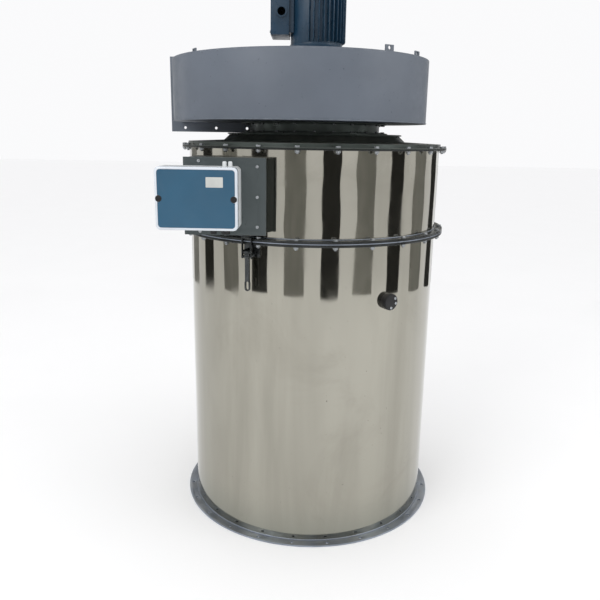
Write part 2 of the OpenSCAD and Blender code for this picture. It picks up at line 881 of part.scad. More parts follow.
module latch_lever() {
    slope = atan2(link_drop, link_out - pivot_out);
    run = norm([link_drop, link_out - pivot_out]);
    arm_t = 5;
    arm_out = link_out - 4;
    eye_w = 17;
    eye_slot_w = 9;
    eye_slot_h = 24;
    eye_z = -latch_len + 16;
    color("dimgray") in_latch_frame() difference() {
        union() {
            latch_profile(latch_lever_w) {
                translate([pivot_out, 0]) circle(r = 8);
                translate([link_out, -link_drop]) circle(r = 6);
                translate([pivot_out, 0]) rotate(-slope) translate([0, -6]) square([run, 12]);
                translate([arm_out, eye_z + 4]) square([arm_t, -link_drop - eye_z - 4]);
            }
            translate([0, -arm_out, eye_z]) facing_front() linear_extrude(arm_t) {
                square([eye_w, 32 - eye_w], center = true);
                for (side = [-1, 1]) translate([0, side * (16 - eye_w / 2)]) circle(d = eye_w);
            }
        }
        translate([-latch_lever_w, -pivot_out, 0]) rotate([0, 90, 0])
            cylinder(r = pivot_pin_r + run_gap, h = 2 * latch_lever_w);
        translate([0, -arm_out + cut, eye_z]) facing_front() linear_extrude(arm_t + 2 * cut) {
            square([eye_slot_w, eye_slot_h - eye_slot_w], center = true);
            for (side = [-1, 1])
                translate([0, side * (eye_slot_h - eye_slot_w) / 2]) circle(d = eye_slot_w);
        }
    }
    color("dimgray") in_latch_frame() translate([-link_in - link_bar_t - 1.5, -link_out, -link_drop])
        rotate([0, 90, 0]) cylinder(r = link_pin_r, h = 2 * (link_in + link_bar_t + 1.5));
}

module latch_link() {
    hook_t = 3;
    hook_grip = 5;
    outer = link_in + link_bar_t;
    bar_in = mid_flange_w + 1.5;
    color("silver") in_latch_frame() {
        for (side = [-1, 1]) difference() {
            translate([side * (link_in + link_bar_t / 2), 0, 0]) latch_profile(link_bar_t) {
                translate([bar_in, -link_drop]) square([link_bar_w, link_drop + link_grip + hook_t]);
                translate([link_out, -link_drop]) circle(r = 5.5);
            }
            translate([-outer - cut, -link_out, -link_drop]) rotate([0, 90, 0])
                cylinder(r = link_pin_r + run_gap, h = 2 * (outer + cut));
        }
        translate([-outer, -bar_in - link_bar_w, link_grip])
            cube([2 * outer, bar_in + link_bar_w - mid_flange_w + hook_grip, hook_t]);
    }
}

// ---- fan casing ----

module inlet_collar() {
    flange_r = collar_r + collar_flange_w;
    wall_r = collar_r + scroll_t;
    color("slategray") difference() {
        rotate_extrude() polygon([
            [collar_r, z_neck],
            [flange_r, z_neck],
            [flange_r, z_neck + collar_flange_t],
            [wall_r, z_neck + collar_flange_t],
            [wall_r, z_fan - collar_flange_t],
            [flange_r, z_fan - collar_flange_t],
            [flange_r, z_fan],
            [collar_r, z_fan]
        ]);
        translate([0, 0, z_neck - cut])
            polar(collar_bolt_n, collar_bolt_r) cylinder(r = collar_hole_r, h = collar_h + 2 * cut);
    }
}

module collar_bolts() {
    color("gainsboro") {
        translate([0, 0, z_neck + collar_flange_t])
            polar(collar_bolt_n, collar_bolt_r)
                hex_bolt(collar_bolt_d, collar_head_d, collar_head_h, collar_flange_t + neck_lip_t + 6);
        translate([0, 0, z_fan - collar_flange_t])
            polar(collar_bolt_n, collar_bolt_r) mirror([0, 0, 1])
                hex_bolt(collar_bolt_d, collar_head_d, collar_head_h, collar_flange_t + 2 * scroll_t + 3);
    }
}

module inlet_cone() {
    z0 = z_fan + scroll_t;
    throat_r = eye_r - 3;
    color("slategray") difference() {
        inside_scroll(z0) rotate_extrude() polygon([
            [collar_r + collar_flange_w, z0],
            [collar_r + collar_flange_w, z0 + scroll_t],
            [collar_r - 36, z0 + scroll_t],
            [throat_r + 14 + scroll_t, z0 + 22],
            [throat_r + scroll_t, z0 + 38],
            [throat_r + scroll_t, z0 + 44],
            [throat_r, z0 + 44],
            [throat_r, z0 + 37],
            [throat_r + 12, z0 + 20],
            [collar_r - 38, z0]
        ]);
        translate([0, 0, z0 - cut])
            polar(collar_bolt_n, collar_bolt_r) cylinder(r = collar_hole_r, h = scroll_t + 2 * cut);
    }
}

// One quarter of a disc, in the quadrant that the signs choose
module quarter(r, sx, sy) {
    intersection() {
        circle(r = r);
        translate([sx < 0 ? -r : 0, sy < 0 ? -r : 0]) square(r);
    }
}

// Outline of the scroll: three quarter discs that grow clockwise, and a smaller disc that
// closes it behind the outlet's tongue. The first value moves the wall outwards.
module scroll_outline(out, outlet_end) {
    translate([half_step, -half_step]) quarter(scroll_r + out, 1, 1);
    translate([-half_step, -half_step]) quarter(scroll_r + scroll_step + out, 1, -1);
    translate([-half_step, half_step]) quarter(scroll_r + 2 * scroll_step + out, -1, -1);
    translate([half_step, north_y - tongue_r]) circle(r = tongue_r + out);
    translate([-half_step - 20, -half_step - 20]) square([half_step * 2 + 40, half_step * 2 + 40]);
    translate([outlet_left_x - out, half_step - 10]) square([scroll_left + out, outlet_end - half_step + 10]);
}

// Keeps what stands inside the fan casing, clear of its wall
module inside_scroll(z0) {
    intersection() {
        children();
        translate([0, 0, z0 - cut]) linear_extrude(scroll_in_top)
            scroll_outline(-wall_gap, outlet_y - scroll_t - wall_gap);
    }
}

module scroll_plate(rim) {
    linear_extrude(scroll_t) scroll_outline(scroll_t + rim, outlet_y);
}

module scroll_bottom() {
    color("slategray") translate([0, 0, z_fan]) difference() {
        scroll_plate(1.5);
        translate([0, 0, -cut]) cylinder(r = collar_r, h = scroll_t + 2 * cut);
        translate([0, 0, -cut])
            polar(collar_bolt_n, collar_bolt_r) cylinder(r = collar_hole_r, h = scroll_t + 2 * cut);
    }
}

module scroll_wall() {
    color("lightslategray") translate([0, 0, z_fan + scroll_t]) linear_extrude(scroll_in_top)
        difference() {
            scroll_outline(scroll_t, outlet_y);
            scroll_outline(0, outlet_y - scroll_t);
            translate([outlet_left_x, half_step]) square([outlet_w, outlet_y]);
        }
}

// Lifting lugs on the fan casing's rim: [azimuth, distance from the axis]
lugs = [[32, 374], [57, 348], [212, 270], [-62, 400]];
motor_spigot_r = 65;
motor_pcd_r = 82.5;
motor_hole_r = 5.5;

module scroll_top() {
    lug_w = 28;
    lug_h = 17;
    lug_t = 4;
    color("lightslategray") {
        translate([0, 0, z_fan_top - scroll_t]) difference() {
            scroll_plate(0);
            translate([0, 0, -cut]) cylinder(r = motor_spigot_r, h = scroll_t + 2 * cut);
            translate([0, 0, -cut])
                polar(4, motor_pcd_r, 45) cylinder(r = motor_hole_r, h = scroll_t + 2 * cut);
        }
        for (lug = lugs) at_azimuth(lug[0], lug[1], z_fan_top) difference() {
            translate([-lug_w / 2, 0, -0.5]) cube([lug_w, lug_t, lug_h + 0.5]);
            translate([0, -cut, lug_h / 2 + 1]) rotate([-90, 0, 0]) cylinder(r = 5, h = lug_t + 2 * cut);
        }
    }
}

module outlet_flange() {
    drop = min(outlet_bar, collar_h - 2);
    bottom = z_fan - drop;
    height = drop + scroll_h + outlet_top_bar;
    z_mid_outlet = z_fan + scroll_h / 2;
    hole_row = outlet_bar / 2;
    color("slategray") difference() {
        translate([outlet_left_x - scroll_t - outlet_bar, outlet_y, bottom])
            cube([outlet_w + 2 * (scroll_t + outlet_bar), outlet_flange_t, height]);
        translate([outlet_left_x, outlet_y - cut, z_fan + scroll_t])
            cube([outlet_w, outlet_flange_t + 2 * cut, scroll_in_top]);
        // Room for the round wall beside the outlet, and for the collar below it
        translate([half_step, north_y - tongue_r, z_fan - cut])
            cylinder(r = tongue_r + scroll_t + 1.5 + wall_gap, h = height);
        translate([0, 0, bottom - cut])
            cylinder(r = collar_r + collar_flange_w + wall_gap, h = drop + cut);
        for (x = [-1 : 1], z = [z_fan - hole_row, z_fan_top + outlet_top_bar - hole_row])
            translate([outlet_mid_x + x * outlet_hole_pitch, outlet_y - cut, z])
                rotate([-90, 0, 0]) cylinder(r = outlet_hole_r, h = outlet_flange_t + 2 * cut);
        for (sx = [-1, 1], sz = [-1, 1])
            translate([outlet_mid_x + sx * (outlet_w / 2 + scroll_t + hole_row), outlet_y - cut,
                       z_mid_outlet + sz * outlet_side_pitch / 2])
                rotate([-90, 0, 0]) cylinder(r = outlet_hole_r, h = outlet_flange_t + 2 * cut);
    }
}

// ---- rotor ----

module blade() {
    // A backward-curved blade: part of a cylinder wall between the eye and the rim
    curve_r = 120;
    intersection() {
        translate([eye_r + 58, -86]) difference() {
            circle(r = curve_r);
            circle(r = curve_r - 3);
        }
        difference() {
            circle(r = impeller_r - 1);
            circle(r = eye_r + 6);
        }
        translate([0, -10]) square([impeller_r, impeller_r]);
    }
}

module impeller() {
    shroud_t = 3;
    color("gray") difference() {
        union() {
            translate([0, 0, z_blades - shroud_t]) ring(impeller_r, eye_r, shroud_t);
            translate([0, 0, z_blades - shroud_t - 12]) ring(eye_r + 3, eye_r, 12.5);
            translate([0, 0, z_blades - 0.5]) linear_extrude(blade_h + 1)
                for (i = [0 : blade_n - 1]) rotate(360 * i / blade_n) blade();
            translate([0, 0, z_blade_top]) cylinder(r = impeller_r, h = back_t);
            translate([0, 0, z_blade_top - hub_h]) cylinder(r = hub_r, h = hub_h + 0.5);
        }
        translate([0, 0, z_blade_top - hub_h - cut])
            cylinder(r = shaft_r + 0.02, h = hub_h + back_t + 2 * cut);
    }
}

module impeller_bolt() {
    color("gainsboro") translate([0, 0, z_blade_top - hub_h]) {
        mirror([0, 0, 1]) cylinder(r = 20, h = 4);
        translate([0, 0, -4]) mirror([0, 0, 1]) cylinder(r = 10, h = 6.4, $fn = 6);
        translate([0, 0, -cut]) cylinder(r = 5, h = z_shaft_low - z_blade_top + hub_h + cut);
    }
}

module motor_rotor() {
    core_h = 110;
    color("silver") {
        translate([0, 0, z_shaft_low]) cylinder(r = shaft_r, h = z_cowl_top - 16 - z_shaft_low);
        translate([0, 0, z_housing + 25]) cylinder(r = rotor_r, h = core_h);
    }
}

module motor_bearings() {
    color("gainsboro") for (z = [z_bearing_low, z_bearing_high])
        translate([0, 0, z]) ring(bearing_r, shaft_r + run_gap, bearing_w);
}

module cooling_fan() {
    fan_r = 68;
    fan_h = 24;
    z0 = z_rear + rear_t + 8;
    color("black") translate([0, 0, z0]) difference() {
        union() {
            cylinder(r = fan_r, h = 3);
            cylinder(r = 20, h = fan_h);
            for (i = [0 : 7]) rotate([0, 0, 45 * i]) translate([15, -1.5, 0]) cube([fan_r - 16, 3, fan_h]);
        }
        translate([0, 0, -cut]) cylinder(r = shaft_r + 0.02, h = fan_h + 2 * cut);
    }
}

// ---- motor ----

module drive_end_shield() {
    color("midnightblue") difference() {
        rotate_extrude() polygon([
            [0, z_fan_top - scroll_t],
            [motor_spigot_r - 0.3, z_fan_top - scroll_t],
            [motor_spigot_r - 0.3, z_fan_top],
            [motor_flange_r, z_fan_top],
            [motor_flange_r, z_motor],
            [72, z_motor],
            [72, z_motor + 12],
            [motor_r + 2, z_housing - 8],
            [motor_r + 2, z_housing],
            [stator_r + 4, z_housing],
            [stator_r + 4, z_housing - 6],
            [40, z_motor + 19],
            [0, z_motor + 19]
        ]);
        translate([0, 0, z_fan_top - scroll_t - cut]) cylinder(r = shaft_r + 2, h = shield_h + 20);
        translate([0, 0, z_bearing_low]) cylinder(r = bearing_r + 0.02, h = shield_h);
        translate([0, 0, z_fan_top - cut])
            polar(4, motor_pcd_r, 45) cylinder(r = motor_hole_r, h = motor_flange_t + 2 * cut);
    }
}

module motor_bolts() {
    color("gainsboro") translate([0, 0, z_motor])
        polar(4, motor_pcd_r, 45) hex_bolt(10, 18, 6.4, motor_flange_t + scroll_t + 4);
}

// Azimuths between which the housing is smooth, beside its terminal box
smooth_from = -125;
smooth_to = -22;

module motor_housing() {
    fins = [for (i = [0 : fin_n - 1]) let (a = -180 + 360 * (i + 0.5) / fin_n)
            if (a < smooth_from || a > smooth_to) a];
    color("midnightblue") translate([0, 0, z_housing]) difference() {
        union() {
            cylinder(r = motor_r, h = motor_h);
            translate([0, 0, 4]) linear_extrude(motor_h - 10)
                for (a = fins) rotate(a - 90) translate([motor_r - 4, -fin_t / 2])
                    square([motor_fin_r - motor_r + 4, fin_t]);
            // Smooth pad that carries the terminal box
            translate([0, 0, 4]) linear_extrude(motor_h - 10) intersection() {
                circle(r = motor_r + 3.5);
                polygon([[0, 0], [-200, -160], [-200, 140]]);
            }
            translate([terminal_x + 0.5, -45, z_terminal - z_housing + 8]) cube([30, 90, terminal_h - 16]);
        }
        translate([0, 0, -cut]) cylinder(r = stator_r + 0.3, h = motor_h + 2 * cut);
        translate([terminal_x - 10, 0, z_terminal - z_housing + terminal_h / 2]) rotate([0, 90, 0])
            cylinder(r = 14, h = 60);
    }
}

module stator_core() {
    color("peru") translate([0, 0, z_housing + 20]) ring(stator_r, rotor_r + 0.6, 120);
}

module rear_shield() {
    color("midnightblue") difference() {
        union() {
            translate([0, 0, z_rear]) cylinder(r = motor_r + 2, h = rear_t);
            translate([0, 0, z_bearing_high - 4])
                cylinder(r = bearing_r + 8, h = z_rear - z_bearing_high + 5);
        }
        translate([0, 0, z_bearing_high]) cylinder(r = bearing_r + 0.02, h = 60);
        translate([0, 0, z_bearing_high - 10]) cylinder(r = shaft_r + 2, h = 60);
    }
}

module fan_cowl() {
    cowl_t = 1.5;
    cowl_r = motor_fin_r - 1;
    color("midnightblue") difference() {
        translate([0, 0, z_cowl]) cylinder(r = cowl_r, h = cowl_h);
        translate([0, 0, z_cowl - cut]) cylinder(r = cowl_r - cowl_t, h = cowl_h - cowl_t + cut);
        translate([0, 0, z_cowl_top - cowl_t - cut]) for (row = [1 : 4])
            polar(6 * row, 15.5 * row, 15) cylinder(r = 5, h = 2 * cut + cowl_t);
    }
    // Feet that hold the cowl on the rear shield
    color("midnightblue") for (i = [0 : 3]) rotate([0, 0, 45 + 90 * i])
        translate([motor_r + 2.3, -7, z_rear + 2]) cube([cowl_r - motor_r - 3, 14, 9]);
}

module terminal_box() {
    wall = 3.5;
    lid_t = 5;
    x0 = terminal_x - terminal_w + lid_t;
    color("midnightblue") difference() {
        union() {
            translate([x0, -terminal_d / 2, z_terminal]) cube([terminal_w - lid_t, terminal_d, terminal_h]);
            translate([entry_x, -terminal_d / 2 + cut, entry_z]) facing_front()
                cylinder(r = entry_r + 4.5, h = 4 + cut);
        }
        translate([x0 - cut, -terminal_d / 2 + wall, z_terminal + wall])
            cube([terminal_w - lid_t - wall + cut, terminal_d - 2 * wall, terminal_h - 2 * wall]);
        translate([entry_x, -terminal_d / 2 + wall + cut, entry_z]) facing_front()
            cylinder(r = entry_r, h = wall + 4 + 3 * cut);
        translate([terminal_x - 2 * wall, 0, z_terminal + terminal_h / 2]) rotate([0, 90, 0])
            cylinder(r = 14, h = 3 * wall);
    }
    // Screwed lid on the outer side
    color("midnightblue") translate([x0 - lid_t, -terminal_d / 2, z_terminal])
        cube([lid_t - 0.2, terminal_d, terminal_h]);
}

base_flange();
lower_casing();
mid_lower_flange();
mid_seals();
tube_sheet();
mid_upper_flange();
mid_bolts();
mid_nuts();
upper_casing();
top_flange();
top_seal();
top_cover();
top_bolts();
top_nuts();
filter_media();
filter_collars();
filter_end_caps();
air_tank();
valve_bodies();
solenoid_coils();
valve_plunger_1();
valve_plunger_2();
valve_plunger_3();
blow_pipes();
air_inlet();
bracket_box();
bracket_cover();
bracket_screws();
control_box_base();
control_box_lid();
control_panel_sheet();
lid_screws();
circuit_board();
board_parts();
cable_glands();
push_fittings();
port_body();
port_screws();
latch_base();
latch_lever();
latch_link();
inlet_collar();
collar_bolts();
inlet_cone();
scroll_bottom();
scroll_wall();
scroll_top();
outlet_flange();
impeller();
impeller_bolt();
drive_end_shield();
motor_bolts();
motor_housing();
stator_core();
rear_shield();
motor_bearings();
motor_rotor();
cooling_fan();
fan_cowl();
terminal_box();
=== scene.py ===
import json
import math

import bmesh
import bpy
from mathutils import Matrix, Vector

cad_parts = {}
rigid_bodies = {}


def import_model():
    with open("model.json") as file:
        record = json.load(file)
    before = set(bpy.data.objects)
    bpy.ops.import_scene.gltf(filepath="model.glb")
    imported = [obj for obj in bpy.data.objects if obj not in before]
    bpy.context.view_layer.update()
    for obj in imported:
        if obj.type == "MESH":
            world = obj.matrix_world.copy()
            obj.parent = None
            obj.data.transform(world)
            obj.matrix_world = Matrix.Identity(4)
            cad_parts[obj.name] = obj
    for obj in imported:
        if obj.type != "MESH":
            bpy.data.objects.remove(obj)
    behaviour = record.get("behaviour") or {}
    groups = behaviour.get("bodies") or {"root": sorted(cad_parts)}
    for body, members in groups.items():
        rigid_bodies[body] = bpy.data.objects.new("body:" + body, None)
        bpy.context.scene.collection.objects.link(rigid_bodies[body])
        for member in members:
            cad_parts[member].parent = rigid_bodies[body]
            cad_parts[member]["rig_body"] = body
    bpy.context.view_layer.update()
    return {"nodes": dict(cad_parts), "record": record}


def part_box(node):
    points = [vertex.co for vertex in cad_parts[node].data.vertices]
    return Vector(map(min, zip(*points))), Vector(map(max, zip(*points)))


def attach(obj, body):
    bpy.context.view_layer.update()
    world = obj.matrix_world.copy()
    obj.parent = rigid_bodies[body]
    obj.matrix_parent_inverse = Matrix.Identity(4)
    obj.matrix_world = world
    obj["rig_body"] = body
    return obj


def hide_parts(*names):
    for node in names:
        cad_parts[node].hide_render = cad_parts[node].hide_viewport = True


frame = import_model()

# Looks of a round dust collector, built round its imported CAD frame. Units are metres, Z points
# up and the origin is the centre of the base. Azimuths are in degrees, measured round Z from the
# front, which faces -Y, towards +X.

MM = 0.001
FULL_TURN = math.tau
SAME_POINT = 1e-6           # corners closer than this are one
SHARP_EDGE = 0.6            # radians; an edge that turns more is bevelled


# ---- materials ----

def srgb(red, green, blue):
    """A screen colour of 0 to 255 as linear numbers."""
    return tuple(pow(v / 255, 2.2) for v in (red, green, blue)) + (1.0,)


def shade(colour, factor):
    """The same colour, lighter or darker."""
    return tuple(min(1.0, v * factor) for v in colour[:3]) + (1.0,)


DUST = srgb(172, 166, 152)
# edge colour of the shaded flange copy: unshaded steel, a painted highlight along its edges
UNSHADED_EDGE_STEEL = srgb(170, 172, 172)


class Nodes:
    """The nodes of one material, added by short calls."""

    def __init__(self, tree):
        self.tree = tree
        tree.nodes.clear()

    def add(self, kind, **settings):
        node = self.tree.nodes.new(kind)
        for key, value in settings.items():
            setattr(node, key, value)
        return node

    def put(self, value, socket):
        """Links an output to a socket, or sets the socket's own value."""
        if isinstance(value, bpy.types.NodeSocket):
            self.tree.links.new(value, socket)
        else:
            socket.default_value = value

    def math(self, operation, a, b=0.0, clamp=False):
        node = self.add("ShaderNodeMath", operation=operation, use_clamp=clamp)
        self.put(a, node.inputs[0])
        self.put(b, node.inputs[1])
        return node.outputs[0]

    def mapped(self, place, scale):
        node = self.add("ShaderNodeMapping")
        self.put(place, node.inputs["Vector"])
        node.inputs["Scale"].default_value = scale
        return node.outputs[0]

    def noise(self, place, scale, detail=3.0, roughness=0.5, distortion=0.0):
        node = self.add("ShaderNodeTexNoise")
        self.put(place, node.inputs["Vector"])
        node.inputs["Scale"].default_value = scale
        node.inputs["Detail"].default_value = detail
        node.inputs["Roughness"].default_value = roughness
        node.inputs["Distortion"].default_value = distortion
        return node.outputs["Fac"]

    def span(self, value, low, high, to_low=0.0, to_high=1.0):
        """Maps low..high to to_low..to_high, with soft ends."""
        node = self.add("ShaderNodeMapRange", interpolation_type="SMOOTHSTEP")
        for socket, item in zip(node.inputs, (value, low, high, to_low, to_high)):
            self.put(item, socket)
        return node.outputs[0]

    def mix(self, factor, first, second):
        node = self.add("ShaderNodeMix", data_type="RGBA", blend_type="MIX")
        self.put(factor, node.inputs[0])
        self.put(first, node.inputs[6])
        self.put(second, node.inputs[7])
        return node.outputs[2]

    def bump(self, height, distance, normal=None):
        node = self.add("ShaderNodeBump")
        node.inputs["Distance"].default_value = distance
        node.inputs["Strength"].default_value = 1.0
        self.put(height, node.inputs["Height"])
        if normal is not None:
            self.put(normal, node.inputs["Normal"])
        return node.outputs[0]


def surface(name):
    """A new material's nodes, its shader and its object coordinates."""
    material = bpy.data.materials.new(name)
    material.use_nodes = True
    nodes = Nodes(material.node_tree)
    shader = nodes.add("ShaderNodeBsdfPrincipled")
    output = nodes.add("ShaderNodeOutputMaterial")
    nodes.put(shader.outputs[0], output.inputs["Surface"])
    place = nodes.add("ShaderNodeTexCoord").outputs["Object"]
    return material, nodes, shader, place


def edge_mask(nodes, radius, place):
    """1 on convex edges within the radius, broken up by noise."""
    bevel = nodes.add("ShaderNodeBevel", samples=4)
    bevel.inputs["Radius"].default_value = radius
    normal = nodes.add("ShaderNodeNewGeometry").outputs["Normal"]
    dot = nodes.add("ShaderNodeVectorMath", operation="DOT_PRODUCT")
    nodes.put(bevel.outputs[0], dot.inputs[0])
    nodes.put(normal, dot.inputs[1])
    turned = nodes.span(dot.outputs["Value"], 0.75, 0.98, 1.0, 0.0)
    broken = nodes.span(nodes.noise(place, 55.0, 4.0, 0.6), 0.42, 0.62)
    return nodes.math("MULTIPLY", turned, broken)


def finish(name, colour, patch=0.1, patch_scale=5.0, stretch=(1, 1, 1), rough=(0.35, 0.5),
           metallic=0.0, grain=700.0, grain_depth=0.05 * MM, dust=0.0, wear=None,
           wear_width=1.2 * MM, specks=0.0, waves=0.0, coat=0.0):
    """A worn surface: cloudy colour, uneven gloss, fine grain, and dust, worn edges, specks and
    shallow waves where they are asked for."""
    material, nodes, shader, place = surface(name)
    drawn = nodes.mapped(place, stretch)
    cloud = nodes.noise(drawn, patch_scale, 4.0, 0.55, 0.3)
    tone = nodes.mix(nodes.span(cloud, 0.3, 0.7), shade(colour, 1 - patch), shade(colour, 1 + patch))
    gloss = nodes.noise(drawn, patch_scale * 3.7, 5.0, 0.6)
    roughness = nodes.span(gloss, 0.3, 0.7, rough[0], rough[1])
    if specks:
        dots = nodes.span(nodes.noise(place, 130.0, 2.0, 0.5), 0.70, 0.76)
        tone = nodes.mix(nodes.math("MULTIPLY", dots, specks), tone, shade(colour, 0.3))
    if dust:
        up = nodes.add("ShaderNodeSeparateXYZ")
        nodes.put(nodes.add("ShaderNodeNewGeometry").outputs["Normal"], up.inputs[0])
        lies = nodes.span(up.outputs["Z"], 0.3, 0.95, 0.0, dust)
        lies = nodes.math("MULTIPLY", lies, nodes.span(nodes.noise(place, 14.0, 5.0, 0.65), 0.25, 0.7))
        tone = nodes.mix(lies, tone, DUST)
        roughness = nodes.math("ADD", roughness, nodes.math("MULTIPLY", lies, 0.3), clamp=True)
    if wear:
        worn = edge_mask(nodes, wear_width, place)
        tone = nodes.mix(worn, tone, wear)
    nodes.put(tone, shader.inputs["Base Color"])
    nodes.put(roughness, shader.inputs["Roughness"])
    shader.inputs["Metallic"].default_value = metallic
    shader.inputs["Coat Weight"].default_value = coat
    normal = nodes.bump(nodes.noise(drawn, grain, 2.0, 0.5), grain_depth)
    if waves:
        normal = nodes.bump(nodes.noise(place, 9.0, 2.0, 0.4), waves, normal=normal)
    nodes.put(normal, shader.inputs["Normal"])
    return material


def polished_sheet():
    """Mirror-polished sheet with faint vertical haze, fine scratches, dark specks and handling
    marks, and dulled near the ground."""
    material, nodes, shader, place = surface("polished_steel_mirror")
    tall = nodes.mapped(place, (1, 1, 0.12))
    haze = nodes.noise(tall, 7.0, 4.0, 0.55, 0.4)
    # darker, warmer base colours than bare steel: a painted reflection of a beige ground
    tone = nodes.mix(nodes.span(haze, 0.3, 0.7), (0.325, 0.313, 0.268, 1), (0.405, 0.391, 0.338, 1))
    stain = nodes.span(nodes.noise(place, 3.2, 6.0, 0.62, 0.8), 0.52, 0.74, 0.0, 0.35)
    tone = nodes.mix(stain, tone, (0.265, 0.25, 0.21, 1))
    height = nodes.add("ShaderNodeSeparateXYZ")
    nodes.put(place, height.inputs[0])
    # darker and rougher towards the ground
    near_ground_darkening = nodes.span(height.outputs["Z"], 0.0, 0.16, 0.55, 0.0)
    tone = nodes.mix(near_ground_darkening, tone, (0.26, 0.27, 0.235, 1))
    specks = nodes.span(nodes.noise(place, 170.0, 2.0, 0.5), 0.745, 0.78)
    tone = nodes.mix(nodes.math("MULTIPLY", specks, 0.75), tone, (0.06, 0.055, 0.05, 1))
    nodes.put(tone, shader.inputs["Base Color"])
    shader.inputs["Metallic"].default_value = 1.0
    fog = nodes.span(nodes.noise(place, 5.0, 5.0, 0.65, 0.6), 0.4, 0.75, 0.035, 0.13)
    fog = nodes.math("ADD", fog, nodes.math("MULTIPLY", specks, 0.3), clamp=True)
    fog = nodes.math("ADD", fog, nodes.math("MULTIPLY", near_ground_darkening, 0.12), clamp=True)
    nodes.put(fog, shader.inputs["Roughness"])
    fine = nodes.bump(nodes.noise(nodes.mapped(place, (1, 1, 0.03)), 900.0, 2.0), 0.004 * MM)
    dents = nodes.bump(nodes.noise(tall, 5.5, 2.0, 0.4), 1.6 * MM, normal=fine)
    nodes.put(dents, shader.inputs["Normal"])
    return material


FINISH = {
    "polished_steel": polished_sheet(),
    "flange_steel": finish("satin_flange_steel", srgb(150, 158, 170), 0.16, 7.0, rough=(0.28, 0.45),
                           metallic=0.9, dust=0.35, specks=0.5),
    # the flange steel darkened as painted shade, for flanges that lie in shade; its lighter edges are
    # a painted highlight
    "dark_flange": finish("flange_steel_painted_shade", srgb(58, 60, 60), 0.25, 9.0, rough=(0.2, 0.36),
                          metallic=0.8, dust=0.12, wear=UNSHADED_EDGE_STEEL, wear_width=0.9 * MM),
    "seal_rubber": finish("seal_rubber_black", srgb(22, 22, 22), 0.3, 30.0, rough=(0.6, 0.85)),
    # dark steel as painted shade, for the cover and collar that lie in the fan's shade
    "cover_sheet": finish("cover_sheet_painted_shade", srgb(70, 76, 73), 0.18, 6.0, rough=(0.26, 0.42),
                          metallic=0.75, dust=0.2, wear=srgb(135, 138, 135), waves=0.8 * MM),
    "bright_zinc": finish("zinc_plated", srgb(178, 182, 186), 0.18, 90.0, rough=(0.2, 0.42),
                          metallic=1.0, grain=1500.0, dust=0.2),
    "filter_felt": finish("needle_felt", srgb(222, 221, 214), 0.06, 20.0, rough=(0.85, 0.98),
                          grain=1800.0, grain_depth=0.3 * MM),
    "galvanised": finish("galvanised_spangle", srgb(160, 165, 168), 0.2, 60.0, rough=(0.3, 0.55),
                         metallic=0.9),
    "tank_paint": finish("tank_satin_paint", srgb(64, 108, 136), 0.08, rough=(0.35, 0.5), dust=0.2),
    "valve_cast": finish("cast_aluminium", srgb(172, 174, 176), 0.08, 25.0, rough=(0.4, 0.6),
                         metallic=0.9, grain=1100.0, grain_depth=0.15 * MM),
    "black_plastic": finish("moulded_black_plastic", srgb(24, 24, 26), 0.25, 22.0,
                            rough=(0.32, 0.5), grain=2200.0, dust=0.08),
    "plunger_steel": finish("ground_plunger_steel", srgb(178, 178, 178), 0.06, 40.0,
                            rough=(0.15, 0.3), metallic=1.0),
    "inlet_brass": finish("turned_brass", srgb(205, 172, 96), 0.12, 40.0, rough=(0.2, 0.4),
                          metallic=1.0),
    "bracket_paint": finish("bracket_satin_grey", srgb(72, 79, 80), 0.1, 8.0, rough=(0.32, 0.46),
                            metallic=0.25, dust=0.3, wear=srgb(150, 152, 152), specks=0.5),
    "white_plastic": finish("moulded_white_plastic", srgb(214, 217, 218), 0.04, 10.0,
                            rough=(0.28, 0.4), grain=1600.0),
    "clear_lid": finish("milky_lid_plastic", srgb(205, 211, 218), 0.05, 12.0, rough=(0.12, 0.24),
                        grain=400.0, coat=0.4),
    "blue_panel": finish("blue_panel_sheet", srgb(52, 88, 112), 0.1, 4.0, rough=(0.14, 0.26),
                         grain=300.0, coat=0.5),
    "board_green": finish("solder_resist", srgb(28, 92, 52), 0.15, 60.0, rough=(0.3, 0.5)),
    "board_black": finish("moulded_parts_black", srgb(40, 40, 42), 0.2, 40.0, rough=(0.35, 0.55)),
    "latch_steel": finish("plain_latch_steel", srgb(74, 76, 77), 0.12, 22.0,
                          rough=(0.18, 0.32), metallic=1.0, wear=srgb(190, 192, 194)),
    "fan_paint": finish("fan_satin_grey_blue", srgb(92, 99, 109), 0.055, 4.5, (1, 1, 1.4),
                        rough=(0.36, 0.5), grain=520.0, grain_depth=0.07 * MM, dust=0.25,
                        wear=srgb(148, 152, 158), specks=0.6, waves=0.9 * MM),
    "impeller_steel": finish("welded_impeller_sheet", srgb(112, 116, 118), 0.15, 14.0,
                             rough=(0.3, 0.5), metallic=0.8, dust=0.2),
    "motor_paint": finish("motor_blue_enamel", srgb(34, 60, 80), 0.14, 14.0, rough=(0.26, 0.42),
                          grain=420.0, grain_depth=0.12 * MM, dust=0.12, wear=srgb(92, 118, 140)),
    "stator_copper": finish("lacquered_windings", srgb(178, 96, 54), 0.2, 80.0, (1, 1, 6),
                            rough=(0.3, 0.5), metallic=0.7),
}

for part in frame["record"]["subparts"]:
    cad_object = frame["nodes"][part["node"]]
    for index in range(len(cad_object.data.materials)):
        cad_object.data.materials[index] = FINISH[part["material_slot"]]
SLOT_OF = {part["node"]: part["material_slot"] for part in frame["record"]["subparts"]}


# ---- mesh helpers ----

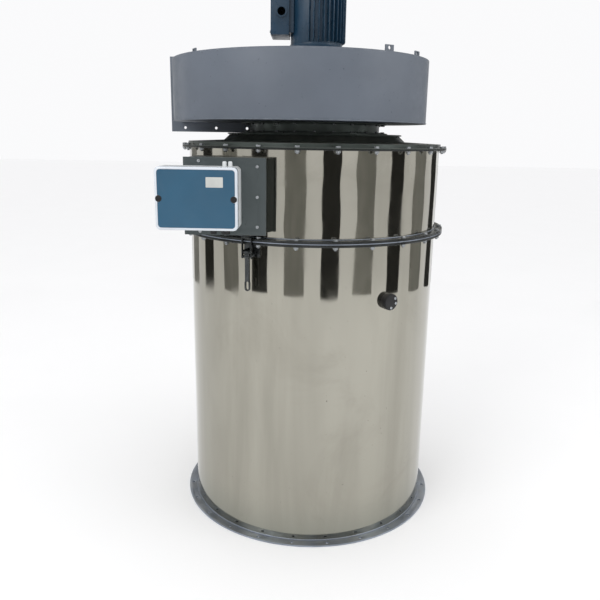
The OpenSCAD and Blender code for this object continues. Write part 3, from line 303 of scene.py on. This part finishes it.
def rounded(points, radius, steps=3):
    """A closed outline with every corner turned into a small arc."""
    result = []
    for index, point in enumerate(points):
        corner = Vector(point)
        back = Vector(points[index - 1]) - corner
        ahead = Vector(points[(index + 1) % len(points)]) - corner
        half = back.angle(ahead) / 2
        if half > math.radians(88):
            result.append(corner)
            continue
        reach = min(radius / math.tan(half), 0.45 * back.length, 0.45 * ahead.length)
        back.normalize()
        ahead.normalize()
        centre = corner + (back + ahead).normalized() * (reach / math.cos(half))
        start = corner + back * reach - centre
        end = corner + ahead * reach - centre
        for step in range(steps + 1):
            spoke = start.lerp(end, step / steps)
            result.append(centre + spoke.normalized() * start.length)
    return result


def lathe(bm, outline, count):
    """Turns a closed outline of (radius, height) points round Z."""
    rings = []
    for index in range(count):
        angle = FULL_TURN * index / count
        rings.append([bm.verts.new((r * math.cos(angle), r * math.sin(angle), z))
                      for r, z in outline])
    size = len(outline)
    for index in range(count):
        near, far = rings[index - 1], rings[index]
        for k in range(size):
            bm.faces.new((near[k - 1], far[k - 1], far[k], near[k]))
    bmesh.ops.remove_doubles(bm, verts=[v for ring in rings for v in ring], dist=SAME_POINT)


def skin(bm, loops, capped=True):
    """Joins loops of the same length one after the other, and closes both ends."""
    rows = [[bm.verts.new(point) for point in loop] for loop in loops]
    size = len(rows[0])
    for near, far in zip(rows, rows[1:]):
        for k in range(size):
            bm.faces.new((near[k - 1], near[k], far[k], far[k - 1]))
    if capped:
        bm.faces.new(rows[0][::-1])
        bm.faces.new(rows[-1])


def unit(build):
    """A mesh made once, to be repeated by scatter."""
    bm = bmesh.new()
    build(bm)
    mesh = bpy.data.meshes.new("unit")
    bm.to_mesh(mesh)
    bm.free()
    return mesh


def scatter(mesh, places):
    """Copies of one mesh at each place, in one bmesh."""
    bm = bmesh.new()
    for place in places:
        before = len(bm.verts)
        bm.from_mesh(mesh)
        bm.verts.ensure_lookup_table()
        bmesh.ops.transform(bm, matrix=place, verts=bm.verts[before:])
    bpy.data.meshes.remove(mesh)
    return bm


def piece(name, bm, slot, *nodes, body="housing", bevel=0.0, smooth=38.0, material=None):
    """Makes an object of a bmesh, shades it, and says what it rides on and stands for."""
    bmesh.ops.recalc_face_normals(bm, faces=bm.faces)
    if bevel:
        sharp = [e for e in bm.edges if len(e.link_faces) == 2 and e.calc_face_angle(0) > SHARP_EDGE]
        bmesh.ops.bevel(bm, geom=sharp, offset=bevel, segments=2, profile=0.7,
                        affect="EDGES", clamp_overlap=True)
    mesh = bpy.data.meshes.new(name)
    bm.to_mesh(mesh)
    bm.free()
    mesh.shade_smooth()
    mesh.set_sharp_from_angle(angle=math.radians(smooth))
    mesh.materials.append(material or FINISH[slot])
    obj = bpy.data.objects.new(name, mesh)
    bpy.context.scene.collection.objects.link(obj)
    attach(obj, body)
    if nodes:
        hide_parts(*nodes)
    return obj


def low(node):
    """A node's lowest corner at rest."""
    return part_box(node)[0]


def high(node):
    """A node's highest corner at rest."""
    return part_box(node)[1]


def at_azimuth(azimuth, radius, height):
    """A place on the object's side: X runs along the casing and -Y outwards."""
    angle = math.radians(azimuth)
    spot = Vector((radius * math.sin(angle), -radius * math.cos(angle), height))
    return Matrix.Translation(spot) @ Matrix.Rotation(angle, 4, "Z")


# ---- casing ----

SHEET = 2 * MM
CASING_R = high("lower_casing").x


def buckle(angle, share):
    """How far rolled sheet stands off its true circle, fading out at its stiff ends."""
    calm = min(1.0, share / 0.1, (1 - share) / 0.1)
    wave = 0.22 * math.sin(5 * angle + 5 * share) + 0.16 * math.sin(9 * angle - 7 * share + 1)
    wave += 0.10 * math.sin(17 * angle + 3 * math.sin(4 * share)) + 0.05 * math.sin(31 * angle)
    return wave * calm * MM


def casing_shell(name, node, rows):
    """Rolled sheet, a little uneven outside and true inside."""
    bottom, top = low(node).z, high(node).z
    bm = bmesh.new()
    count = 384
    rings = []
    for row in range(rows + 1):
        share = row / rows
        z = bottom + share * (top - bottom)
        rings.append([(CASING_R + buckle(FULL_TURN * k / count, share), FULL_TURN * k / count, z)
                      for k in range(count)])
    for z in (top, bottom):
        rings.append([(CASING_R - SHEET, FULL_TURN * k / count, z) for k in range(count)])
    rings.append(rings[0])
    loops = [[(r * math.cos(a), r * math.sin(a), z) for r, a, z in ring] for ring in rings]
    skin(bm, loops, capped=False)
    bmesh.ops.remove_doubles(bm, verts=bm.verts, dist=SAME_POINT)
    return piece(name, bm, "polished_steel", node, smooth=50)


casing_shell("lower_casing_sheet", "lower_casing", 72)
casing_shell("upper_casing_sheet", "upper_casing", 24)


def weld_bead(name, radius, height, size):
    """A rippled ring of weld in the corner between a sheet and a flange."""
    bm = bmesh.new()
    count, sides = 900, 8
    rings = []
    for index in range(count):
        angle = FULL_TURN * index / count
        fat = size * (1 + 0.16 * math.sin(index * 1.9) + 0.08 * math.sin(index * 0.37))
        ring = []
        for side in range(sides):
            turn = FULL_TURN * side / sides
            r = radius + fat * math.cos(turn)
            ring.append((r * math.cos(angle), r * math.sin(angle), height + fat * math.sin(turn)))
        rings.append(ring)
    rings.append(rings[0])
    skin(bm, rings, capped=False)
    bmesh.ops.remove_doubles(bm, verts=bm.verts, dist=SAME_POINT)
    return piece(name, bm, "flange_steel", smooth=60)


weld_bead("base_weld", CASING_R + 0.6 * MM, high("base_flange").z + 0.8 * MM, 2.0 * MM)
weld_bead("mid_lower_weld", CASING_R + 0.4 * MM, low("mid_lower_flange").z - 0.6 * MM, 1.5 * MM)
weld_bead("mid_upper_weld", CASING_R + 0.4 * MM, high("mid_upper_flange").z + 0.6 * MM, 1.5 * MM)


def flange_ring(name, node, edge=1.2 * MM):
    """A flange turned with rounded edges, for one whose holes are filled by bolts."""
    outer = high(node).x
    inner = CASING_R - SHEET
    bottom, top = low(node).z, high(node).z
    bm = bmesh.new()
    lathe(bm, rounded([(inner, bottom), (outer, bottom), (outer, top), (inner, top)], edge), 288)
    return piece(name, bm, SLOT_OF[node], node, smooth=50)


flange_ring("mid_lower_flange_ring", "mid_lower_flange")
flange_ring("mid_upper_flange_ring", "mid_upper_flange")
flange_ring("top_flange_ring", "top_flange", 0.8 * MM)


# ---- bolts ----

BOLT_COUNT = 24
SHANK_R = 4 * MM
WASHER_T = 1.3 * MM
WASHER_SPREAD = 1.06        # a washer's radius as a multiple of the hexagon's
HEAD_LAP = 1.2 * MM         # a head starts just inside its washer
base_holes = next(m for m in frame["record"]["mounts"] if m["name"] == "base_bolts")
BOLT_CIRCLE_R = base_holes["dims"]["pcd_mm"] / 2 * MM


def phase_of(node):
    """The angle in degrees at which a CAD ring of bolts begins, from its own mesh."""
    turns = [BOLT_COUNT * math.atan2(v.co.y, v.co.x) for v in frame["nodes"][node].data.vertices]
    east, north = sum(map(math.cos, turns)), sum(map(math.sin, turns))
    return math.degrees(math.atan2(north, east) / BOLT_COUNT)


BOLT_PHASE = phase_of("mid_bolts")


def hex_solid(bm, corner_r, bottom, top, chamfer):
    """A hexagon with both rims chamfered."""
    cut = corner_r - 1.3 * chamfer
    lathe(bm, [(0, bottom), (cut, bottom), (corner_r, bottom + chamfer), (corner_r, top - chamfer),
               (cut, top), (0, top)], 6)


def washer(bm, radius, bottom, top):
    """A flat washer without its hole, which the bolt fills."""
    edge = 0.25 * (top - bottom)
    lathe(bm, [(0, bottom), (radius - edge, bottom), (radius, bottom + edge), (radius, top - edge),
               (radius - edge, top), (0, top)], 28)


def stud(bm, radius, bottom, top):
    """A threaded end: a shank whose wall steps in and out."""
    pitch = 1.25 * MM
    turns = max(2, round((top - bottom) / pitch))
    wall = [(0, bottom)]
    for index in range(turns):
        z = bottom + (top - bottom) * index / turns
        wall += [(radius - 0.5 * MM, z), (radius, z + 0.5 * (top - bottom) / turns)]
    lathe(bm, wall + [(radius - 0.6 * MM, top), (0, top)], 20)


def circle_of(count, radius, height, phase, spin=0.7):
    """Places round a circle, each turned a little differently about its own axis."""
    places = []
    for index in range(count):
        angle = math.radians(phase) + FULL_TURN * index / count
        spot = Vector((radius * math.cos(angle), radius * math.sin(angle), height))
        places.append(Matrix.Translation(spot) @ Matrix.Rotation(angle + spin * index, 4, "Z"))
    return places


def bolt_ring(name, node, radius, head_r, head_h, foot, length):
    """Bolts with washers, standing on the height foot."""
    def build(bm):
        washer(bm, head_r * WASHER_SPREAD, 0, WASHER_T)
        hex_solid(bm, head_r, HEAD_LAP, head_h, 0.6 * MM)
        stud(bm, SHANK_R, -length, 0.5 * MM)
    places = circle_of(BOLT_COUNT, radius, foot, BOLT_PHASE)
    return piece(name, scatter(unit(build), places), SLOT_OF[node], node, smooth=25)


def nut_ring(name, node, radius, nut_r):
    """Nuts with washers under the joint."""
    bottom, top = low(node).z, high(node).z

    def build(bm):
        washer(bm, nut_r * WASHER_SPREAD, top - bottom - WASHER_T, top - bottom)
        hex_solid(bm, nut_r, 0, top - bottom - HEAD_LAP, 0.6 * MM)
    places = circle_of(BOLT_COUNT, radius, bottom, BOLT_PHASE, spin=1.1)
    return piece(name, scatter(unit(build), places), SLOT_OF[node], node, smooth=25)


HEAD_R = 7.2 * MM
COVER_SHEET = 2.5 * MM
SEATS = (("mid", high("mid_upper_flange").z), ("top", high("top_seal").z + COVER_SHEET))
for level, seat in SEATS:
    bolts, nuts = level + "_bolts", level + "_nuts"
    bolt_ring(level + "_flange_bolts", bolts, BOLT_CIRCLE_R, HEAD_R, high(bolts).z - seat, seat,
              seat - low(bolts).z)
    nut_ring(level + "_flange_nuts", nuts, BOLT_CIRCLE_R, HEAD_R)


# ---- cover and neck ----

COLLAR_BORE_R = 205 * MM


def cover():
    """Sheet cover: a rim that steps up, a shallow cone, and a neck with a lip."""
    bottom, top = low("top_cover").z, high("top_cover").z
    outer = high("top_cover").x
    sheet = COVER_SHEET
    rim_r = CASING_R + 4 * MM
    rim_top = bottom + sheet + 11 * MM
    foot_r, foot_z = 291 * MM, rim_top + 5 * MM
    neck_r, lip_r, lip = 272 * MM, 280 * MM, 4 * MM
    outline = [
        (rim_r - sheet, bottom), (outer, bottom), (outer, bottom + sheet), (rim_r, bottom + sheet),
        (rim_r, rim_top), (foot_r, foot_z), (neck_r, top - lip), (lip_r, top - lip), (lip_r, top),
        (COLLAR_BORE_R, top), (COLLAR_BORE_R, top - lip), (neck_r - 1.4 * sheet, top - lip),
        (foot_r - sheet, foot_z - sheet), (rim_r - sheet, rim_top - sheet),
    ]
    bm = bmesh.new()
    lathe(bm, rounded(outline, 1.4 * MM), 288)
    return piece("cover_sheet", bm, "cover_sheet", "top_cover", smooth=50)


cover()


def collar():
    """Ring between the cover and the fan, with a plate at each end."""
    bottom, top = low("inlet_collar").z, high("inlet_collar").z
    outer = high("inlet_collar").x
    plate = 4 * MM
    wall_r = COLLAR_BORE_R + 3 * MM
    outline = [(COLLAR_BORE_R, bottom), (outer, bottom), (outer, bottom + plate),
               (wall_r, bottom + plate), (wall_r, top - plate), (outer, top - plate),
               (outer, top), (COLLAR_BORE_R, top)]
    bm = bmesh.new()
    lathe(bm, rounded(outline, 1.2 * MM), 240)
    # the collar takes the cover's dark steel: painted shade under the fan
    return piece("inlet_collar_ring", bm, "cover_sheet", "inlet_collar", smooth=50)


collar()


# ---- nodes whose own shape stays, with eased edges ----

def eased(node, width, material=None):
    """A piece of a CAD node's own shape, with its sharp edges eased."""
    bm = bmesh.new()
    bm.from_mesh(frame["nodes"][node].data)
    bmesh.ops.remove_doubles(bm, verts=bm.verts, dist=0.01 * MM)
    bmesh.ops.dissolve_limit(bm, angle_limit=math.radians(0.4), verts=bm.verts, edges=bm.edges)
    body = frame["nodes"][node]["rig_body"]
    return piece(node + "_eased", bm, SLOT_OF[node], node, body=body, bevel=width,
                 material=material)


EASED = {                   # how wide each bevel is, in millimetres
    "base_flange": 0.8, "scroll_wall": 0.8, "scroll_top": 0.9, "scroll_bottom": 0.9,
    "outlet_flange": 0.9, "bracket_box": 0.5, "bracket_cover": 0.6, "control_box_base": 1.2,
    "cable_glands": 0.6, "push_fittings": 0.5, "port_body": 1.0, "air_inlet": 0.6,
    "latch_base": 0.5, "latch_lever": 0.8, "latch_link": 0.5, "drive_end_shield": 1.2,
    "motor_bolts": 0.5, "rear_shield": 0.8, "fan_cowl": 0.5, "terminal_box": 1.6,
    "bracket_screws": 0.3, "impeller": 0.5,
}
for node, width in EASED.items():
    eased(node, width * MM)
# the collar's bolts take the darker latch steel instead of zinc: painted shade under the fan
eased("collar_bolts", 0.4 * MM, material=FINISH["latch_steel"])


# ---- control box ----

def rect_loop(width, height, radius, depth, centre, steps=8):
    """A rounded rectangle that faces the front, at the given Y."""
    loop = []
    for corner, (sx, sz) in enumerate(((1, 1), (-1, 1), (-1, -1), (1, -1))):
        for step in range(steps + 1):
            angle = math.pi / 2 * (corner + step / steps)
            x = sx * (width / 2 - radius) + radius * math.cos(angle)
            z = sz * (height / 2 - radius) + radius * math.sin(angle)
            loop.append((centre.x + x, depth, centre.z + z))
    return loop


def lid():
    """Moulded lid whose front edge rolls over into a flat frame round the recessed panel."""
    first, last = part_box("control_box_lid")
    centre = (first + last) / 2
    width, height = last.x - first.x, last.z - first.z
    roll, corner, recess, frame_w = 5 * MM, 12 * MM, 0.8 * MM, 6.6 * MM
    loops = [rect_loop(width - 6 * MM, height - 6 * MM, corner - 3 * MM, last.y, centre),
             rect_loop(width - 0.6 * MM, height - 0.6 * MM, corner, last.y, centre),
             rect_loop(width, height, corner, last.y - 0.5 * MM, centre)]
    for step in range(7):
        angle = math.pi / 2 * step / 6
        inset = roll * (1 - math.cos(angle))
        depth = first.y + roll * (1 - math.sin(angle))
        loops.append(rect_loop(width - 2 * inset, height - 2 * inset, corner - 0.6 * inset, depth,
                               centre))
    inner = (width - 2 * frame_w, height - 2 * frame_w, 8.5 * MM)
    loops.append(rect_loop(inner[0] + MM, inner[1] + MM, inner[2], first.y, centre))
    loops.append(rect_loop(*inner, first.y + 0.4 * MM, centre))
    loops.append(rect_loop(*inner, first.y + recess + 0.6 * MM, centre))
    bm = bmesh.new()
    skin(bm, loops)
    return piece("control_lid_moulding", bm, "clear_lid", "control_box_lid", smooth=45)


lid()


def lid_screws():
    """Dark round screw caps with a raised bar, in the notches at the panel's two sides."""
    first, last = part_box("lid_screws")
    front = low("control_box_lid").y
    cap_r, proud = 8.6 * MM, 0.3 * MM

    def build(bm):
        lathe(bm, rounded([(0, 0), (cap_r, 0), (cap_r, 4 * MM), (0, 4 * MM)], 0.8 * MM), 40)
        bmesh.ops.translate(bm, vec=(0, 0, -4 * MM), verts=bm.verts)
        x_half, y_half = 6 * MM, 0.8 * MM
        corners = [(-x_half, -y_half), (x_half, -y_half), (x_half, y_half), (-x_half, y_half)]
        skin(bm, [[(x, y, -0.5 * MM) for x, y in corners], [(x, y, 0.35 * MM) for x, y in corners]])
    middle = (first.z + last.z) / 2
    places = [Matrix.Translation((x, front - proud, middle)) @ Matrix.Rotation(math.pi / 2, 4, "X")
              @ Matrix.Rotation(turn, 4, "Z")
              for x, turn in ((first.x + 5 * MM, 0.4), (last.x - 5 * MM, 1.3))]
    return piece("lid_screw_caps", scatter(unit(build), places), "black_plastic", "lid_screws",
                 smooth=30)


lid_screws()


def blank_label():
    """A plain pale plate on the panel, with nothing on it."""
    first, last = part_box("control_panel_sheet")
    centre = Vector((last.x - 52 * MM, 0, last.z - 31 * MM))
    bm = bmesh.new()
    front = first.y
    loops = [rect_loop(44 * MM, 26 * MM, 1.5 * MM, front + 0.1 * MM, centre, 3),
             rect_loop(44 * MM, 26 * MM, 1.5 * MM, front - 0.15 * MM, centre, 3),
             rect_loop(43.6 * MM, 25.6 * MM, 1.4 * MM, front - 0.25 * MM, centre, 3)]
    skin(bm, loops)
    film = finish("blank_label_film", srgb(184, 186, 182), 0.05, 30.0, rough=(0.3, 0.45))
    return piece("blank_panel_label", bm, "white_plastic", smooth=40, material=film)


blank_label()


# ---- pressure port ----

def port_screws():
    """Domed cap screws with a recess. The lowest one stands straight below the port's centre."""
    head_r, circle_r = 3.2 * MM, 17 * MM
    foot = low("port_screws").z
    points = [v.co for v in frame["nodes"]["port_screws"].data.vertices]
    lowest = [point for point in points if point.z < foot + 2.2 * head_r]
    middle = sum(lowest, Vector()) / len(lowest)
    azimuth = math.degrees(math.atan2(middle.x, -middle.y))
    centre_z = foot + head_r + circle_r
    outer_r = CASING_R + 20 * MM

    def build(bm):
        dome = [(0, -0.5 * MM), (4.0 * MM, -0.5 * MM), (4.0 * MM, 1.0 * MM), (3.3 * MM, 2.0 * MM),
                (2.1 * MM, 2.5 * MM), (2.0 * MM, 1.4 * MM), (0, 1.4 * MM)]
        lathe(bm, dome, 28)
    places = []
    for angle in (36, -16, -90):        # degrees round the port, from its right-hand side
        turn = math.radians(angle)
        spot = Matrix.Translation((circle_r * math.cos(turn), 0, circle_r * math.sin(turn)))
        places.append(at_azimuth(azimuth, outer_r, centre_z) @ spot
                      @ Matrix.Rotation(math.pi / 2, 4, "X"))
    return piece("port_cap_screws", scatter(unit(build), places), "bright_zinc", "port_screws",
                 smooth=30)


port_screws()


# ---- motor ----

def motor():
    """Cast housing with tapered fins, smooth on the terminal box's side."""
    first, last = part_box("motor_housing")
    fin_tip = last.y
    wall_r, bore_r = 80 * MM, 64.3 * MM
    bottom, top = first.z, last.z
    bm = bmesh.new()
    outline = [(bore_r, bottom), (wall_r, bottom), (wall_r, top), (bore_r, top)]
    lathe(bm, rounded(outline, 1.5 * MM), 144)

    def fin(target):
        foot, tip, edge = 1.9 * MM, 1.0 * MM, 0.8 * MM
        loops = []
        levels = ((bottom + 4 * MM, 6 * MM), (bottom + 7 * MM, 1 * MM), (bottom + 9 * MM, 0),
                  (top - 11 * MM, 0), (top - 9 * MM, 1 * MM), (top - 6 * MM, 6 * MM))
        for z, drop in levels:
            reach = fin_tip - drop
            loops.append([(wall_r - 2 * MM, -foot, z), (reach - edge, -tip, z), (reach, -0.4 * tip, z),
                          (reach, 0.4 * tip, z), (reach - edge, tip, z), (wall_r - 2 * MM, foot, z)])
        skin(target, loops)
    count, smooth_from, smooth_to = 36, -125, -22       # no fins between these angles
    angles = [-180 + 360 * (index + 0.5) / count for index in range(count)]
    places = [Matrix.Rotation(math.radians(angle - 90), 4, "Z") for angle in angles
              if not smooth_from < angle < smooth_to]
    fins = scatter(unit(fin), places)
    mesh = bpy.data.meshes.new("fins")
    fins.to_mesh(mesh)
    fins.free()
    bm.from_mesh(mesh)
    bpy.data.meshes.remove(mesh)
    # the flat pad that the terminal box sits on
    pad = (high("terminal_box").x, -45 * MM, 45 * MM)
    skin(bm, [[(x, y, z) for x, y in ((-70 * MM, pad[1]), (pad[0] + 0.3 * MM, pad[1]),
                                      (pad[0] + 0.3 * MM, pad[2]), (-70 * MM, pad[2]))]
              for z in (low("terminal_box").z + 8 * MM, high("terminal_box").z - 8 * MM)])
    return piece("motor_finned_housing", bm, "motor_paint", "motor_housing", smooth=32)


motor()


def terminal_screws():
    """Four pan screws that hold the terminal box's lid."""
    first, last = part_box("terminal_box")

    def build(bm):
        lathe(bm, [(0, -0.5 * MM), (4.2 * MM, -0.5 * MM), (4.2 * MM, 1.2 * MM), (3 * MM, 2.6 * MM),
                   (1.6 * MM, 2.8 * MM), (1.4 * MM, 1.8 * MM), (0, 1.8 * MM)], 24)
    inset = 9 * MM
    places = [Matrix.Translation((first.x, y, z)) @ Matrix.Rotation(-math.pi / 2, 4, "Y")
              for y in (-last.y + inset, last.y - inset) for z in (first.z + inset, last.z - inset)]
    return piece("terminal_lid_screws", scatter(unit(build), places), "bright_zinc", smooth=30)


terminal_screws()


# ---- studio ----

def stage_mesh(name, build, material):
    """A floor or a board, which isn't part of the object."""
    bm = bmesh.new()
    build(bm)
    bmesh.ops.recalc_face_normals(bm, faces=bm.faces)
    mesh = bpy.data.meshes.new(name)
    bm.to_mesh(mesh)
    bm.free()
    mesh.materials.append(material)
    obj = bpy.data.objects.new(name, mesh)
    bpy.context.scene.collection.objects.link(obj)
    return obj


def floor():
    """A plain pale floor, just under the base flange."""
    reach = 30.0
    corners = ((-reach, -reach), (reach, -reach), (reach, reach), (-reach, reach))

    def build(bm):
        bm.faces.new([bm.verts.new((x, y, -0.5 * MM)) for x, y in corners])
    stage_mesh("studio_floor", build, finish("floor_pale", srgb(250, 250, 250), 0.004, 2.0,
                                             rough=(0.8, 0.9)))


def flags():
    """Evenly spaced upright boards of dark and grey cloth, which give polished steel something
    to show. The camera doesn't see them and they cast no shadow."""
    cloths = (finish("flag_dark_cloth", srgb(40, 40, 38), 0.1, 3.0, rough=(0.8, 0.95)),
              finish("flag_grey_cloth", srgb(138, 138, 134), 0.1, 3.0, rough=(0.8, 0.95)))
    count, distance, height, depth = 12, 3.6, 3.2, 0.03
    for index in range(count):
        half_width = 0.56 if index % 2 else 0.46

        def build(bm):
            corners = [(x, y) for x, y in ((-half_width, 0), (half_width, 0), (half_width, -depth),
                                           (-half_width, -depth))]
            skin(bm, [[(x, y, z) for x, y in corners] for z in (0.0, height)])
            azimuth = 360 * (index + 0.5) / count
            bmesh.ops.transform(bm, matrix=at_azimuth(azimuth, distance, 0), verts=bm.verts)
        flag = stage_mesh("flag_%02d" % index, build, cloths[index % 2])
        flag.visible_camera = False
        flag.visible_diffuse = False
        flag.visible_shadow = False


def world():
    """The same soft light from all round."""
    sky = bpy.data.worlds.new("studio_world")
    bpy.context.scene.world = sky
    sky.use_nodes = True
    background = sky.node_tree.nodes["Background"]
    background.inputs["Color"].default_value = (0.96, 0.96, 0.97, 1)
    background.inputs["Strength"].default_value = 1.0


def soft_light(name, spot, target, size, power):
    """A large area light that faces the target."""
    lamp = bpy.data.lights.new(name, "AREA")
    lamp.energy = power
    lamp.size = size
    obj = bpy.data.objects.new(name, lamp)
    obj.location = spot
    obj.rotation_euler = (Vector(target) - Vector(spot)).to_track_quat("-Z", "Y").to_euler()
    bpy.context.scene.collection.objects.link(obj)


def camera():
    """A handheld view from the front, looking a little down."""
    spot, focal_mm, sensor_mm = (0.0, -2.18, 1.217), 39.0, 36.0
    pitch, roll, yaw = (math.radians(v) for v in (14.0, 0.9, -1.0))
    forward = Vector((math.sin(yaw) * math.cos(pitch), math.cos(yaw) * math.cos(pitch),
                      -math.sin(pitch)))
    right = Vector((math.cos(yaw), -math.sin(yaw), 0))
    up = right.cross(forward)
    across = math.cos(roll) * right + math.sin(roll) * up
    upright = -math.sin(roll) * right + math.cos(roll) * up
    turn = Matrix((across, upright, -forward)).transposed().to_4x4()
    lens = bpy.data.cameras.new("camera")
    lens.lens = focal_mm
    lens.sensor_width = sensor_mm
    obj = bpy.data.objects.new("camera", lens)
    obj.matrix_world = Matrix.Translation(spot) @ turn
    bpy.context.scene.collection.objects.link(obj)
    bpy.context.scene.camera = obj


floor()
flags()
world()
soft_light("key_light", (-2.4, -3.0, 3.4), (0, 0, 0.9), 2.6, 55.0)
soft_light("fill_light", (3.2, -1.2, 2.4), (0, 0, 1.0), 2.4, 22.0)
camera()
bpy.context.scene.view_settings.view_transform = "Standard"
